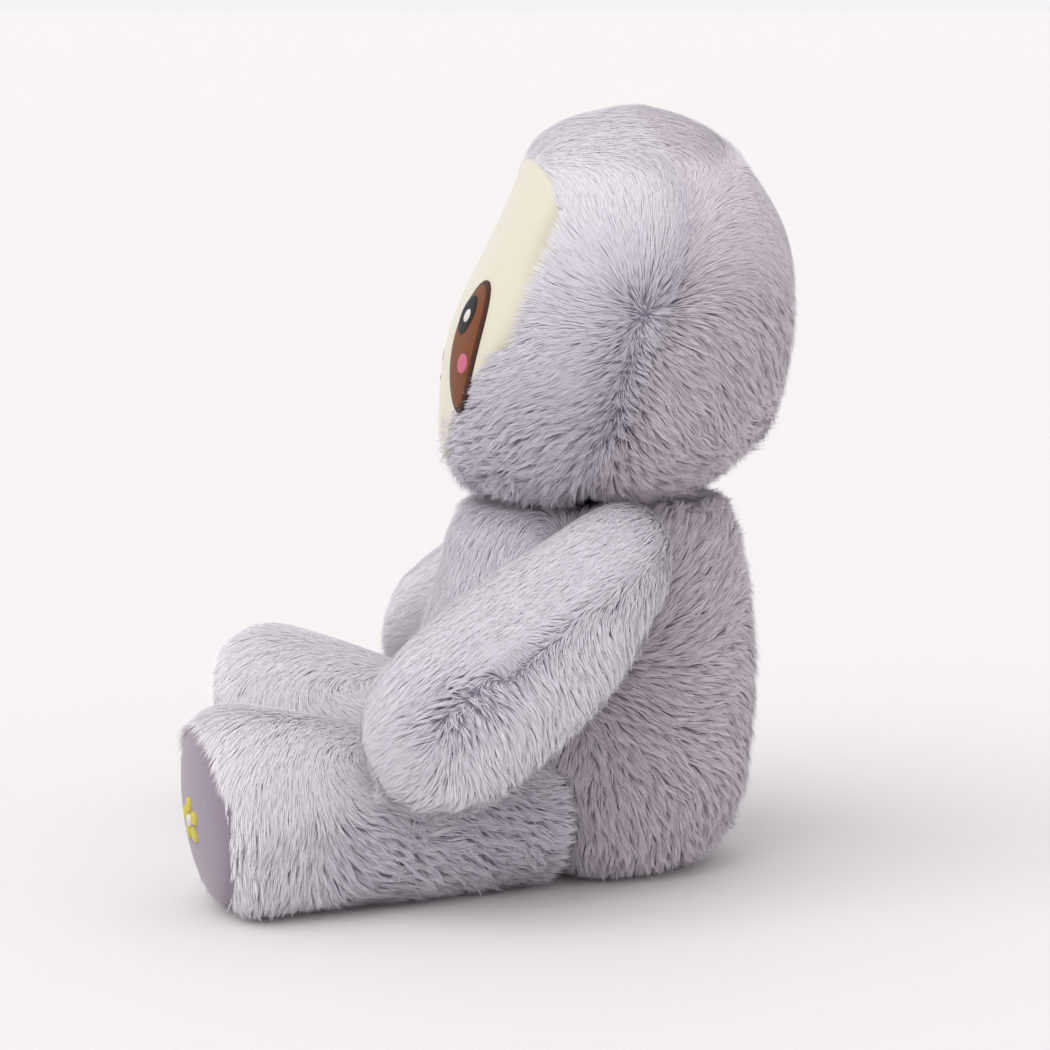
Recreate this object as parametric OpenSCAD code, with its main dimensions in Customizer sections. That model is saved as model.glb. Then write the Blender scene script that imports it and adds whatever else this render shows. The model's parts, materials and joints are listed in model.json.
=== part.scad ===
// A seated plush sloth, about 290 mm tall, sewn from plush panels over polyester fill.
// The toy looks along -Y, +Z is up, and +X is its left side. It sits on the plane z = 0.
// Every soft piece is a plain closed solid. Left pieces are built, and right ones are mirrored.

/* [Trunk] */
// Height of the trunk, from the seat to the neck seam
trunk_h = 143; // [130:1:165]
// Width of the trunk at its widest level
trunk_w = 122; // [112:1:130]
// Depth of the trunk at its widest level, from belly to back
trunk_d = 133; // [124:1:146]
// Share of the trunk's inner height that the pellet bag fills at most
pellet_share = 0.17; // [0.12:0.01:0.30]

/* [Head] */
// Width of the head, from cheek to cheek
head_w = 150; // [130:1:170]
// Length of the head, from the muzzle to the back of the head
head_l = 138; // [126:1:150]
// Height of the head, from the chin to the crown
head_h = 145; // [130:1:160]

/* [Face] */
// Height of a teardrop eye patch
patch_h = 50; // [40:1:56]
// Width of a teardrop eye patch
patch_w = 22; // [16:1:24]
// Height of an embroidered eye
eye_h = 15; // [11:1:18]
// Distance of an eye patch's middle from the face's middle line
patch_off = 34; // [30:1:37]

/* [Arms] */
// Length of an arm, from its round root to the tip of the paw
arm_len = 148; // [130:1:158]
// Width of an arm at the paw
arm_w = 67; // [56:1:72]
// Thickness of an arm at the paw
arm_t = 40; // [32:1:42]
// Outward lean of an arm from upright
arm_tilt = 30; // [28:1:34]
// Drop of an arm below level, forwards
arm_drop = 44; // [40:1:50]

/* [Legs] */
// Length of a leg, from the hip's centre to the rim of the foot pad
leg_len = 122; // [110:1:140]
// Radius of the thigh and of its round root
thigh_r = 27; // [23:1:29]
// Height of a foot
foot_h = 78; // [68:1:84]
// Width of a foot
foot_w = 68; // [58:1:72]
// Outward turn of a leg from straight ahead
leg_splay = 20; // [18:1:26]
// Lean of a foot pad, its top edge forwards
pad_lean = 9; // [0:1:12]

/* [Fabric and gaps] */
// Thickness of a plush panel with its pile pressed flat
fabric_t = 2.4; // [1.6:0.1:3.2]
// Thickness of the embroidery
thread_t = 0.8; // [0.5:0.1:1.2]
// Thickness of the seam allowance between a limb and the trunk
seam_t = 1.6; // [1.0:0.1:2.2]
// Free gap between pieces that move past each other
joint_gap = 0.7; // [0.5:0.1:1.2]

/* [Hidden] */

$fn = 48;

lilac = [0.78, 0.77, 0.81];
mauve = [0.70, 0.67, 0.72];
cream = [0.91, 0.89, 0.82];
fill_white = [0.96, 0.96, 0.95];
brown = [0.42, 0.24, 0.12];
black = [0.06, 0.05, 0.06];
pink = [0.86, 0.50, 0.58];
yellow = [0.90, 0.84, 0.36];

// Steps around the limbs and the trunk, and half the columns of a trunk ring
step = 15;
trunk_step = 7.5;
half_turn = 180 / trunk_step;
// Smallest half width of a limb's end, and the small space between stacked layers
tip = 0.6;
layer = 0.1;

// ---- General shapes -------------------------------------------------------------------

// Closed slab between two grids of points that have the same rows and columns. Columns before
// the turn take the other diagonal, so that a piece across the middle line is a mirror image.
module slab(outer, inner, turn = 0) {
    rows = len(outer);
    cols = len(outer[0]);
    count = rows * cols;
    skin = [for (i = [0:rows - 2], j = [0:cols - 2]) each quad(
        i * cols + j,
        i * cols + j + 1,
        (i + 1) * cols + j + 1,
        (i + 1) * cols + j,
        j < turn
    )];
    lining = [for (f = skin) [f[2] + count, f[1] + count, f[0] + count]];
    edge = concat(
        [for (j = [0:cols - 2]) j],
        [for (i = [0:rows - 2]) i * cols + cols - 1],
        [for (j = [cols - 1:-1:1]) (rows - 1) * cols + j],
        [for (i = [rows - 1:-1:1]) i * cols]
    );
    rim = [for (k = [0:len(edge) - 1]) each quad(
        edge[(k + 1) % len(edge)],
        edge[k],
        edge[k] + count,
        edge[(k + 1) % len(edge)] + count
    )];
    polyhedron(
        points = concat([for (r = outer) each r], [for (r = inner) each r]),
        faces = concat(skin, lining, rim)
    );
}

function quad(a, b, c, d, other = false) = other ? [[a, b, d], [b, c, d]] : [[a, b, c], [a, c, d]];

// Closed solid through a stack of rings, each closed at its own middle. Columns from the turn
// on take the other diagonal.
module loft(rings, turn = 1000) {
    n = len(rings[0]);
    last = len(rings) - 1;
    low = len(rings) * n;
    sides = [for (i = [0:last - 1], j = [0:n - 1]) each quad(
        i * n + j,
        i * n + (j + 1) % n,
        (i + 1) * n + (j + 1) % n,
        (i + 1) * n + j,
        j >= turn
    )];
    floor_fan = [for (j = [0:n - 1]) [(j + 1) % n, j, low]];
    roof_fan = [for (j = [0:n - 1]) [last * n + j, last * n + (j + 1) % n, low + 1]];
    polyhedron(
        points = concat([for (r = rings) each r], [middle(rings[0]), middle(rings[last])]),
        faces = concat(sides, floor_fan, roof_fan)
    );
}

function middle(ring) = [for (k = [0:2]) sum([for (p = ring) p[k]]) / len(ring)];
function sum(list) = list * [for (v = list) 1];
function mix(a, b, t) = a + (b - a) * t;
function unit(v) = v / norm(v);

module left_and_right(side) {
    if (side < 0) mirror([1, 0, 0]) children();
    else children();
}

// ---- Trunk ----------------------------------------------------------------------------

// Share of the full height against share of the full width
trunk_widths = [[0, 0.70], [0.05, 0.84], [0.17, 0.94], [0.35, 0.99], [0.52, 1.0],
    [0.66, 0.99], [0.84, 0.88], [0.94, 0.72], [0.985, 0.55], [1, 0.30]];
// Share of the full height against the front and back faces, in shares of the full depth
trunk_fronts = [[0, -0.44], [0.05, -0.53], [0.17, -0.61], [0.35, -0.65], [0.52, -0.66],
    [0.66, -0.645], [0.84, -0.59], [0.94, -0.52], [0.985, -0.44], [1, -0.30]];
trunk_backs = [[0, 0.10], [0.05, 0.20], [0.17, 0.305], [0.35, 0.335], [0.52, 0.34],
    [0.66, 0.335], [0.84, 0.30], [0.94, 0.25], [0.985, 0.19], [1, 0.06]];
trunk_levels = [0, 0.05, 0.11, 0.17, 0.26, 0.35, 0.435, 0.52, 0.60, 0.66, 0.75, 0.84,
    0.94, 0.985, 1];

// How far the head's middle stands ahead of the trunk's, and the head's back outline: a share
// of its height against a share of its length behind its middle
head_ahead = 9;
head_backs = [[0, 0.09], [0.03, 0.25], [0.10, 0.385], [0.20, 0.453], [0.30, 0.485], [0.40, 0.497],
    [0.50, 0.50], [0.60, 0.493], [0.70, 0.462], [0.80, 0.403], [0.88, 0.335], [0.94, 0.265],
    [0.98, 0.18], [1, 0.11]];
// Share of the leg's length against share of the way from the thigh's size to the foot's
leg_growth = [[0, 0], [0.15, 0.06], [0.35, 0.28], [0.55, 0.58], [0.75, 0.86], [0.88, 1.0], [1, 0.96]];
// The trunk stands behind the origin, so that the origin is under the middle of the whole toy.
hip_ahead = 45;
// The foot pad's swell: a share of its bulge against a share of its size
pad_swell = [[0, 1], [0.5, 0.88], [0.85, 0.66], [1, 0.42]];
pad_bulge = 7;
pad_w = half_breadth(leg_len) - fabric_t - layer;
pad_h = half_height(leg_len) - fabric_t - layer;
function ring_front(far, w, h) = min([for (a = [0:step:345])
    sin(leg_splay) * w * cos(a) - cos(leg_splay) * (far + tan(pad_lean) * h * sin(a))]);
foot_front = min(concat(
    [ring_front(leg_len, half_breadth(leg_len), half_height(leg_len))],
    [for (k = pad_swell) ring_front(leg_len + k[0] * pad_bulge, pad_w * k[1], pad_h * k[1])]
));
head_back = max(lookup(0.50, head_backs) * head_l - head_ahead, lookup(0.52, trunk_backs) * trunk_d);
trunk_y = -(head_back + foot_front - hip_ahead) / 2;

function half_width(z) = lookup(z / trunk_h, trunk_widths) * trunk_w / 2;
function front_y(z) = trunk_y + lookup(z / trunk_h, trunk_fronts) * trunk_d;
function back_y(z) = trunk_y + lookup(z / trunk_h, trunk_backs) * trunk_d;
function middle_y(z) = (front_y(z) + back_y(z)) / 2;

// Reach of the trunk from its middle line, where angle 0 looks forwards and 90 to the left
function oval(u, a, b) = a * b / norm([b * sin(u), a * cos(u)]);
function trunk_reach(u, z, inset) = min(
    oval(u, half_width(z) - inset, (back_y(z) - front_y(z)) / 2 - inset),
    thigh_limit(u, z) - inset,
    arm_limit(u, z) - inset
);
function trunk_point(u, z, inset) = [
    sin(u) * trunk_reach(u, z, inset),
    middle_y(z) - cos(u) * trunk_reach(u, z, inset),
    z
];

// Distance along a ray to the nearest thigh, anywhere that the thigh may swing to, with the
// nearest of the rays beside it too, so that a flat facet also clears the thigh
function thigh_limit(u, z) = min([for (du = [-1:1], dz = [-1:1])
    thigh_hit(u + du * trunk_step, z + dz * facet_room)]);
function thigh_hit(u, z) = min([for (b = thigh_balls) ball_hit(
    [abs(sin(u)), -cos(u), 0],
    [b[0], b[1] - middle_y(z), b[2] - z],
    b[3]
)]);
function ball_hit(ray, centre, r) =
    let (along = ray * centre, inside = along * along - centre * centre + r * r)
    inside < 0 || along < 0 ? 1000 : along - sqrt(inside);

// Distance along a ray to the plane that an arm and its seam lie on
function arm_limit(u, z) = abs(sin(u)) < 0.2 ? 1000 : (shoulder[0] - joint_gap
    - ((z - shoulder[2]) * sin(arm_tilt) + seam_t + 2 * joint_gap) / cos(arm_tilt)) / abs(sin(u));

// Levels of a layer inside the trunk that keeps clear of its seat and its neck
function inner_z(k) = mix(fabric_t, trunk_h - fabric_t, k);

module trunk_panel(first, last) {
    angles = [first:trunk_step:last];
    outer_levels = concat([0, fabric_t], [for (k = trunk_levels) if (k > 0) k * trunk_h]);
    inner_levels = concat([0], [for (k = trunk_levels) inner_z(k)]);
    slab(
        [for (z = outer_levels) [for (u = angles) trunk_point(u, z, 0)]],
        [for (z = inner_levels) [for (u = angles) trunk_point(u, z, fabric_t)]],
        first < 0 ? -first / trunk_step : 0
    );
}

module belly_panel() {
    color(lilac) trunk_panel(-75, 75);
}

module back_panel(side) {
    color(mauve) left_and_right(side) trunk_panel(75, 180);
}

trunk_angles = [for (i = [0:2 * half_turn - 1]) i * trunk_step];

module seat_panel() {
    reach = [for (u = trunk_angles) min(trunk_reach(u, 0, fabric_t), trunk_reach(u, fabric_t, fabric_t))];
    color(mauve) linear_extrude(fabric_t) polygon([for (i = [0:len(reach) - 1])
        [sin(trunk_angles[i]) * reach[i], middle_y(0) - cos(trunk_angles[i]) * reach[i]]]);
}

function trunk_ring(z, inset) = [for (u = trunk_angles) trunk_point(u, z, inset)];
// The pellet bag fills the trunk up to one of its levels, and the fill lies on it.
bag_levels = [for (k = trunk_levels) if (k <= pellet_share) k];
fill_levels = [for (k = trunk_levels) if (k >= bag_levels[len(bag_levels) - 1]) k];
bag_inset = fabric_t + 4 * layer;
fill_inset = fabric_t + 6 * layer;

module pellet_bag() {
    color(mauve) translate([0, 0, layer])
        loft([for (k = bag_levels) trunk_ring(inner_z(k), bag_inset)], half_turn);
}

module trunk_fill() {
    first = fill_levels[0];
    color(fill_white) loft([for (k = fill_levels)
        trunk_ring(inner_z(k) + (k == first ? 2 * layer : -layer), fill_inset)], half_turn);
}

// Ladder stitches that close the opening low on the back, over the middle seam
closing_low = 0.20;
closing_high = 0.52;
closing_count = 9;
closing_w = 5;

module closing_stitches() {
    gap = (closing_high - closing_low) * trunk_h / (closing_count - 1);
    color(mauve) for (k = [0:closing_count - 1]) {
        z = closing_low * trunk_h + k * gap;
        translate([0, back_y(z) + thread_t, z]) cube([closing_w, thread_t, thread_t], center = true);
    }
}

// ---- Neck -----------------------------------------------------------------------------

neck_y = middle_y(trunk_h) + 4;
neck_seam_r = 12;
neck_z = trunk_h + seam_t + 2 * joint_gap;

module neck_seam() {
    color(mauve) translate([0, neck_y, trunk_h + joint_gap]) cylinder(r = neck_seam_r, h = seam_t);
}

// ---- Head -----------------------------------------------------------------------------

// The head clears the neck seam by what it needs to nod.
nod_room = 4;
head_low = neck_z + nod_room;
head_y = trunk_y - head_ahead;
// Share of the head's height against half its width and its front, in shares of the full
// width and the full length
head_widths = [[0, 0.10], [0.03, 0.25], [0.10, 0.38], [0.20, 0.462], [0.30, 0.494], [0.40, 0.5],
    [0.50, 0.497], [0.60, 0.48], [0.70, 0.446], [0.80, 0.386], [0.88, 0.31], [0.94, 0.235],
    [0.98, 0.14], [1, 0.05]];
head_fronts = [[0, -0.13], [0.03, -0.31], [0.10, -0.455], [0.20, -0.495], [0.30, -0.50],
    [0.40, -0.479], [0.50, -0.44], [0.60, -0.388], [0.70, -0.335], [0.80, -0.280],
    [0.88, -0.245], [0.94, -0.18], [0.98, -0.09], [1, -0.01]];
head_levels = [0, 0.03, 0.10, 0.20, 0.30, 0.40, 0.50, 0.60, 0.70, 0.80, 0.88, 0.94, 0.98, 1];
// The face panel's edges: longitudes from the front, and rows of the head's levels
face_lons = [for (k = [-4:4]) 13 * k];
cheek_lons = [52, 64.5, 77, 90];
back_lons = [90:15:180];
chin_row = 3;
brow_row = 9;
crown_row = len(head_levels) - 1;

function head_a(k) = lookup(k, head_widths) * head_w;
function head_b(k) = (lookup(k, head_backs) - lookup(k, head_fronts)) / 2 * head_l;
function head_mid_y(k) = head_y + (lookup(k, head_backs) + lookup(k, head_fronts)) / 2 * head_l;
function head_z(k, inset) = head_low + inset + k * (head_h - 2 * inset);
function head_point(u, k, inset) =
    let (r = oval(u, max(head_a(k) - inset, tip), max(head_b(k) - inset, tip)))
    [sin(u) * r, head_mid_y(k) - cos(u) * r, head_z(k, inset)];

module head_panel(lons, first, last) {
    rows = [for (i = [first:last]) head_levels[i]];
    slab(
        [for (k = rows) [for (u = lons) head_point(u, k, 0)]],
        [for (k = rows) [for (u = lons) head_point(u, k, fabric_t)]],
        len([for (u = lons) if (u < 0) u])
    );
}

module face_panel() {
    color(cream) head_panel(face_lons, chin_row, brow_row);
}

module hood_panel() {
    color(lilac) head_panel(face_lons, brow_row, crown_row);
}

module chin_panel() {
    color(lilac) head_panel(face_lons, 0, chin_row);
}

module cheek_panel(side) {
    color(lilac) left_and_right(side) head_panel(cheek_lons, 0, crown_row);
}

module head_back(side) {
    color(mauve) left_and_right(side) head_panel(back_lons, 0, crown_row);
}

module head_fill() {
    inset = fabric_t + 4 * layer;
    half = concat([for (u = cheek_lons) u], [for (u = back_lons) if (u > 90) u]);
    left = concat([for (u = face_lons) if (u >= 0 && u < 52) u], half);
    lons = concat(left, [for (i = [len(left) - 2:-1:1]) 360 - left[i]]);
    color(fill_white)
        loft([for (k = head_levels) [for (u = lons) head_point(u, k, inset)]], len(left) - 1);
}

// A point on the face, by its distance to the left, its height over the head's middle
// and its height off the panel
face_mid_z = head_low + head_h / 2;
function on_face(x, up) =
    let (k = (face_mid_z + up - head_low) / head_h)
    [x, head_mid_y(k) - head_b(k) * sqrt(1 - pow(x / head_a(k), 2)), face_mid_z + up];
function face_spot(x, up, lift) =
    let (side = on_face(x + 1, up) - on_face(x - 1, up), rise = on_face(x, up + 1) - on_face(x, up - 1))
    on_face(x, up) + unit(cross(side, rise)) * lift;

// Embroidery with rows of a share of its half length and a half width
module embroidery(mid, half_len, lean, rows, lift) {
    slab(
        [for (r = rows) [for (c = [-1:0.5:1]) thread_spot(mid, half_len, lean, r, c, lift + thread_t)]],
        [for (r = rows) [for (c = [-1:0.5:1]) thread_spot(mid, half_len, lean, r, c, lift)]]
    );
}
function thread_spot(mid, half_len, lean, row, c, lift) = face_spot(
    mid[0] + c * row[1] * cos(lean) - row[0] * half_len * sin(lean),
    mid[1] + row[0] * half_len * cos(lean) + c * row[1] * sin(lean),
    lift
);

// Rows of an oval and of a teardrop whose point is down
function oval_rows(w) = [for (a = [-80:20:80]) [sin(a), w / 2 * cos(a)]];
function tear_rows(w) = [for (a = [-80:20:80]) [sin(a), w / 2 * cos(a) * (0.80 + 0.20 * sin(a))]];

patch_up = -16;
patch_lean = 10;
eye_mid = [patch_off - 4.5, patch_up + patch_h * 0.22];
blush_mid = [patch_off + 2, patch_up - patch_h * 0.13];
eye_w = eye_h * 0.84;
glint_shift = [0.6, 1.6];
glint_h = 4.5;
blush_h = 8;
first_lift = 4 * layer;
second_lift = first_lift + thread_t + layer;
third_lift = second_lift + thread_t + layer;

module eye_patch(side) {
    color(brown) left_and_right(side)
        embroidery([patch_off, patch_up], patch_h / 2, patch_lean, tear_rows(patch_w), first_lift);
}

module eye(side) {
    color(black) left_and_right(side)
        embroidery(eye_mid, eye_h / 2, 0, oval_rows(eye_w), second_lift);
}

module eye_glint(side) {
    color("white") left_and_right(side)
        embroidery(eye_mid + glint_shift, glint_h / 2, 0, oval_rows(glint_h), third_lift);
}

module blush(side) {
    color(pink) left_and_right(side)
        embroidery(blush_mid, blush_h / 2, 0, oval_rows(blush_h * 0.85), second_lift);
}

nose_h = 9;
nose_w = 15;
nose_up = -22;
mouth_w = 26;
mouth_drop = 12;
mouth_rise = 3;

module nose_embroidery() {
    color(brown) embroidery([0, nose_up], nose_h / 2, 0, oval_rows(nose_w), first_lift);
}

// The mouth is a shallow arc of thread, higher at its ends.
function mouth_spot(c, edge, lift) = face_spot(
    c * mouth_w / 2,
    nose_up - mouth_drop + mouth_rise * c * c + edge * thread_t,
    lift
);

module mouth_embroidery() {
    color(brown) slab(
        [for (e = [-1, 1]) [for (c = [-1:0.25:1]) mouth_spot(c, e, first_lift + thread_t)]],
        [for (e = [-1, 1]) [for (c = [-1:0.25:1]) mouth_spot(c, e, first_lift)]]
    );
}

// ---- Arms -----------------------------------------------------------------------------

shoulder_z = trunk_h - 11;
shoulder = [half_width(shoulder_z) + seam_t + 2 * joint_gap + 1, trunk_y - 6, shoulder_z];
// Share of the arm's length against share of its full width and thickness
arm_root = 18;
arm_widths = [[0, 0.04], [0.02, 0.30], [0.06, 0.47], [0.13, 0.57], [0.25, 0.68], [0.40, 0.81],
    [0.57, 0.94], [0.73, 1.0], [0.84, 0.95], [0.92, 0.77], [0.97, 0.50], [1, 0.06]];
arm_depths = [[0, 0.04], [0.02, 0.28], [0.06, 0.44], [0.13, 0.56], [0.25, 0.70], [0.40, 0.84],
    [0.57, 0.96], [0.73, 1.0], [0.84, 0.93], [0.92, 0.72], [0.97, 0.45], [1, 0.06]];
arm_shares = [0, 0.02, 0.06, 0.13, 0.20, 0.28, 0.38, 0.48, 0.57, 0.66, 0.75, 0.84, 0.92, 0.97, 1];

arm_out = [cos(arm_tilt), 0, sin(arm_tilt)];
arm_along = [sin(arm_tilt) * sin(arm_drop), -cos(arm_drop), -cos(arm_tilt) * sin(arm_drop)];
arm_across = cross(arm_out, arm_along);

function arm_point(share, a, inset) =
    let (
        w = max(lookup(share, arm_widths) * arm_w / 2 - inset, tip / 2),
        t = max(lookup(share, arm_depths) * arm_t / 2 - inset, tip / 2),
        far = mix(-arm_root + inset, arm_len - arm_root - inset, share),
        out = lookup(share, arm_depths) * arm_t / 2
    )
    shoulder + arm_along * far + arm_across * (w * cos(a)) + arm_out * (out + t * sin(a));

module arm_panel(first, last) {
    slab(
        [for (k = arm_shares) [for (a = [last:-step:first]) arm_point(k, a, 0)]],
        [for (k = arm_shares) [for (a = [last:-step:first]) arm_point(k, a, fabric_t)]]
    );
}

module arm_outer(side) {
    color(lilac) left_and_right(side) arm_panel(0, 180);
}

module arm_inner(side) {
    color(lilac) left_and_right(side) arm_panel(180, 360);
}

module arm_fill(side) {
    inset = fabric_t + 4 * layer;
    color(fill_white) left_and_right(side)
        loft([for (k = arm_shares) [for (a = [345:-step:0]) arm_point(k, a, inset)]]);
}

// The seam allowance is a flat disc between the trunk and the root of the arm.
shoulder_seam_r = 11;

module shoulder_seam(side) {
    color(mauve) left_and_right(side)
        translate(shoulder - arm_out * (seam_t + joint_gap))
        rotate([0, 90 - arm_tilt, 0]) cylinder(r = shoulder_seam_r, h = seam_t);
}

// ---- Legs -----------------------------------------------------------------------------

// Travel that the trunk leaves free for the thighs, and room for its own flat facets
splay_in = 10;
flex_down = 25;
facet_room = 5;

hip = [46, trunk_y - hip_ahead, thigh_r];
leg_shares = [0, 0.11, 0.23, 0.35, 0.45, 0.55, 0.65, 0.75, 0.88, 0.95, 1];
root_angles = [-88, -70, -50, -32, -16];
shear_from = 0.6;

function growth(s) = lookup(s / leg_len, leg_growth);
function half_height(s) = mix(thigh_r, foot_h / 2, growth(s));
function half_breadth(s) = mix(thigh_r, foot_w / 2, growth(s));
function lean_of(s) = tan(pad_lean) * max(0, min(1, (s / leg_len - shear_from) / (1 - shear_from)));

// A point of the leg's own frame in the toy's frame, with the leg turned out or lifted
function leg_turned(s, across, up, turn, lift) =
    let (a = leg_splay + turn, far = s * cos(lift) - up * sin(lift), high = s * sin(lift) + up * cos(lift))
    hip + [sin(a) * far + cos(a) * across, -cos(a) * far + sin(a) * across, high];
function leg_place(s, turn, lift) = leg_turned(s, 0, half_height(s) - thigh_r, turn, lift);
// Balls along the thigh, wherever it may swing, each a middle and a radius with its free gap
thigh_balls = [for (s = [0, 14, 28, 42], turn = [-splay_in, 0], lift = [-flex_down, 0])
    concat(leg_place(s, turn, lift), half_height(s) + seam_t + 3 * joint_gap)];

function leg_point(s, w, h, a) =
    let (up = h * sin(a))
    leg_turned(s + lean_of(s) * up, w * cos(a), half_height(max(s, 0)) - thigh_r + up, 0, 0);

// Rings of the leg: the round root first, then the shaft as far as the given end
function root_size(b, inset) = (thigh_r - inset) * cos(b);
function leg_rings(angles, inset, end) = concat(
    [for (b = root_angles) [for (a = angles)
        leg_point((thigh_r - inset) * sin(b), root_size(b, inset), root_size(b, inset), a)]],
    [for (k = leg_shares) let (s = k * end) [for (a = angles)
        leg_point(s, half_breadth(s) - inset, half_height(s) - inset, a)]]
);

module leg_panel(first, last) {
    angles = [first:step:last];
    slab(leg_rings(angles, 0, leg_len), leg_rings(angles, fabric_t, leg_len));
}

module leg_top(side) {
    color(lilac) left_and_right(side) leg_panel(0, 180);
}

module leg_under(side) {
    color(lilac) left_and_right(side) leg_panel(180, 360);
}

module leg_fill(side) {
    inset = fabric_t + 4 * layer;
    color(fill_white) left_and_right(side)
        loft(leg_rings([0:step:345], inset, leg_len - fabric_t - 4 * layer));
}

// The foot pad closes the leg and swells forwards to a small level crown.
function pad_ring(forward, scale) = [for (a = [0:step:345]) pad_point(forward, scale, a)];
function pad_point(forward, scale, a) = leg_turned(
    leg_len + forward + tan(pad_lean) * pad_h * scale * sin(a),
    pad_w * scale * cos(a),
    half_height(leg_len) - thigh_r + pad_h * scale * sin(a),
    0,
    0
);

module foot_pad(side) {
    color(mauve) left_and_right(side) loft(concat(
        [pad_ring(-fabric_t, 1)],
        [for (k = pad_swell) pad_ring(k[0] * pad_bulge, k[1])]
    ));
}

// A generic five-petalled flower is embroidered on the level crown of the pad.
petal_r = 3.1;
petal_ring = 5.6;
centre_r = 2.3;
petal_count = 5;

module on_pad(side) {
    left_and_right(side)
        translate(leg_turned(leg_len + pad_bulge, 0, half_height(leg_len) - thigh_r, 0, 0))
        rotate([0, 0, leg_splay]) rotate([90 + pad_lean, 0, 0]) children();
}

module petals(side) {
    color(yellow) on_pad(side) for (k = [0:petal_count - 1])
        rotate([0, 0, 90 + k * 360 / petal_count])
            translate([petal_ring, 0, 0]) cylinder(r = petal_r, h = thread_t);
}

module flower_centre(side) {
    color("white") on_pad(side) cylinder(r = centre_r, h = thread_t);
}

// The seam allowance is a dished disc behind the thigh's round root.
hip_seam_span = 22;

module hip_seam(side) {
    near = thigh_r + joint_gap;
    far = near + seam_t;
    outline = concat(
        [for (a = [0:2:hip_seam_span]) [far * sin(a), far * cos(a)]],
        [for (a = [hip_seam_span:-2:0]) [near * sin(a), near * cos(a)]]
    );
    color(mauve) left_and_right(side)
        translate(hip) rotate([0, 0, leg_splay]) rotate([-90, 0, 0]) rotate_extrude() polygon(outline);
}

// ---- Nodes ----------------------------------------------------------------------------

belly_panel();
back_panel(1);  // back_panel_left
back_panel(-1);  // back_panel_right
seat_panel();
trunk_fill();
pellet_bag();
closing_stitches();
neck_seam();
face_panel();
hood_panel();
chin_panel();
cheek_panel(1);  // cheek_panel_left
cheek_panel(-1);  // cheek_panel_right
head_back(1);  // head_back_left
head_back(-1);  // head_back_right
head_fill();
nose_embroidery();
mouth_embroidery();
eye_patch(1);  // eye_patch_left
eye_patch(-1);  // eye_patch_right
eye(1);  // eye_left
eye(-1);  // eye_right
eye_glint(1);  // eye_glint_left
eye_glint(-1);  // eye_glint_right
blush(1);  // blush_left
blush(-1);  // blush_right
shoulder_seam(1);  // shoulder_seam_left
arm_outer(1);  // arm_outer_left
arm_inner(1);  // arm_inner_left
arm_fill(1);  // arm_fill_left
shoulder_seam(-1);  // shoulder_seam_right
arm_outer(-1);  // arm_outer_right
arm_inner(-1);  // arm_inner_right
arm_fill(-1);  // arm_fill_right
hip_seam(1);  // hip_seam_left
leg_top(1);  // leg_top_left
leg_under(1);  // leg_under_left
leg_fill(1);  // leg_fill_left
foot_pad(1);  // foot_pad_left
petals(1);  // petals_left
flower_centre(1);  // flower_centre_left
hip_seam(-1);  // hip_seam_right
leg_top(-1);  // leg_top_right
leg_under(-1);  // leg_under_right
leg_fill(-1);  // leg_fill_right
foot_pad(-1);  // foot_pad_right
petals(-1);  // petals_right
flower_centre(-1);  // flower_centre_right
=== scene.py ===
# %% [markdown]
# # A seated plush sloth
#
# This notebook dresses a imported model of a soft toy. The model gives the sizes, the bodies and
# the joints. Here every plush panel gets its cloth, its filling and its long pile, the face gets
# its smooth nap and its satin stitching, and each piece is told which body it moves with.
#
# All shapes are worked out in millimetres, and they become metres when a mesh is made.

import json
import math

import bpy
import numpy as np
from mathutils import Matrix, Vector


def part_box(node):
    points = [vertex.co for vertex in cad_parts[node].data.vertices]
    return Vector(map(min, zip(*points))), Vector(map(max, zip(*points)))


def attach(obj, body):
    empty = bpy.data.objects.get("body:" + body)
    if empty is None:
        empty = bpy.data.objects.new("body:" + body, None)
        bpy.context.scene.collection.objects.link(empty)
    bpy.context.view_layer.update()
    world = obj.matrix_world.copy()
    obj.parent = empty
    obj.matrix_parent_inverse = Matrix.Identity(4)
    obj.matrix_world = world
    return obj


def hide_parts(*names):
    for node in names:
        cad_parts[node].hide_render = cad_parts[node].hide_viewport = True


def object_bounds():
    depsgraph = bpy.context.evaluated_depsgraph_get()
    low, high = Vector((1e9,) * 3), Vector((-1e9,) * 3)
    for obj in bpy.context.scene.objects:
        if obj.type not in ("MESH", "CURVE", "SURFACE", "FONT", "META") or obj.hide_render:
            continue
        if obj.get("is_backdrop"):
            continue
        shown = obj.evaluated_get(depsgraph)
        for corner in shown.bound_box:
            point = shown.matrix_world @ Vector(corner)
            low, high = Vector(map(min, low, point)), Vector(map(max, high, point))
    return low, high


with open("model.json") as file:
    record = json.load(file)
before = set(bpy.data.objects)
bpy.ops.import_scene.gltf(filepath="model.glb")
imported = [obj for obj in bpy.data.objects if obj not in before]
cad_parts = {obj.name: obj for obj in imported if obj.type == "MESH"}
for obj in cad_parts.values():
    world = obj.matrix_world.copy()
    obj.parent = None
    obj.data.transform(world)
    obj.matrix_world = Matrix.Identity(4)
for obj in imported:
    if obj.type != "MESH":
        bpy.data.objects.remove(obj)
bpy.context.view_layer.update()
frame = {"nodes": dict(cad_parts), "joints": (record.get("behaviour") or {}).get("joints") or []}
MM = 0.001

# %% [markdown]
# ## Camera, light and floor
#
# The toy looks along -Y and is seen from its left side, a little from above. A long lens from
# well over a metre away keeps the near foot from looking too large. A plain white studio is a
# pale floor, an even bright world, and one wide soft light from above the toy's front left.
# A hard lamp would break the pile into sparkles, and a near one would light the floor unevenly.

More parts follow.
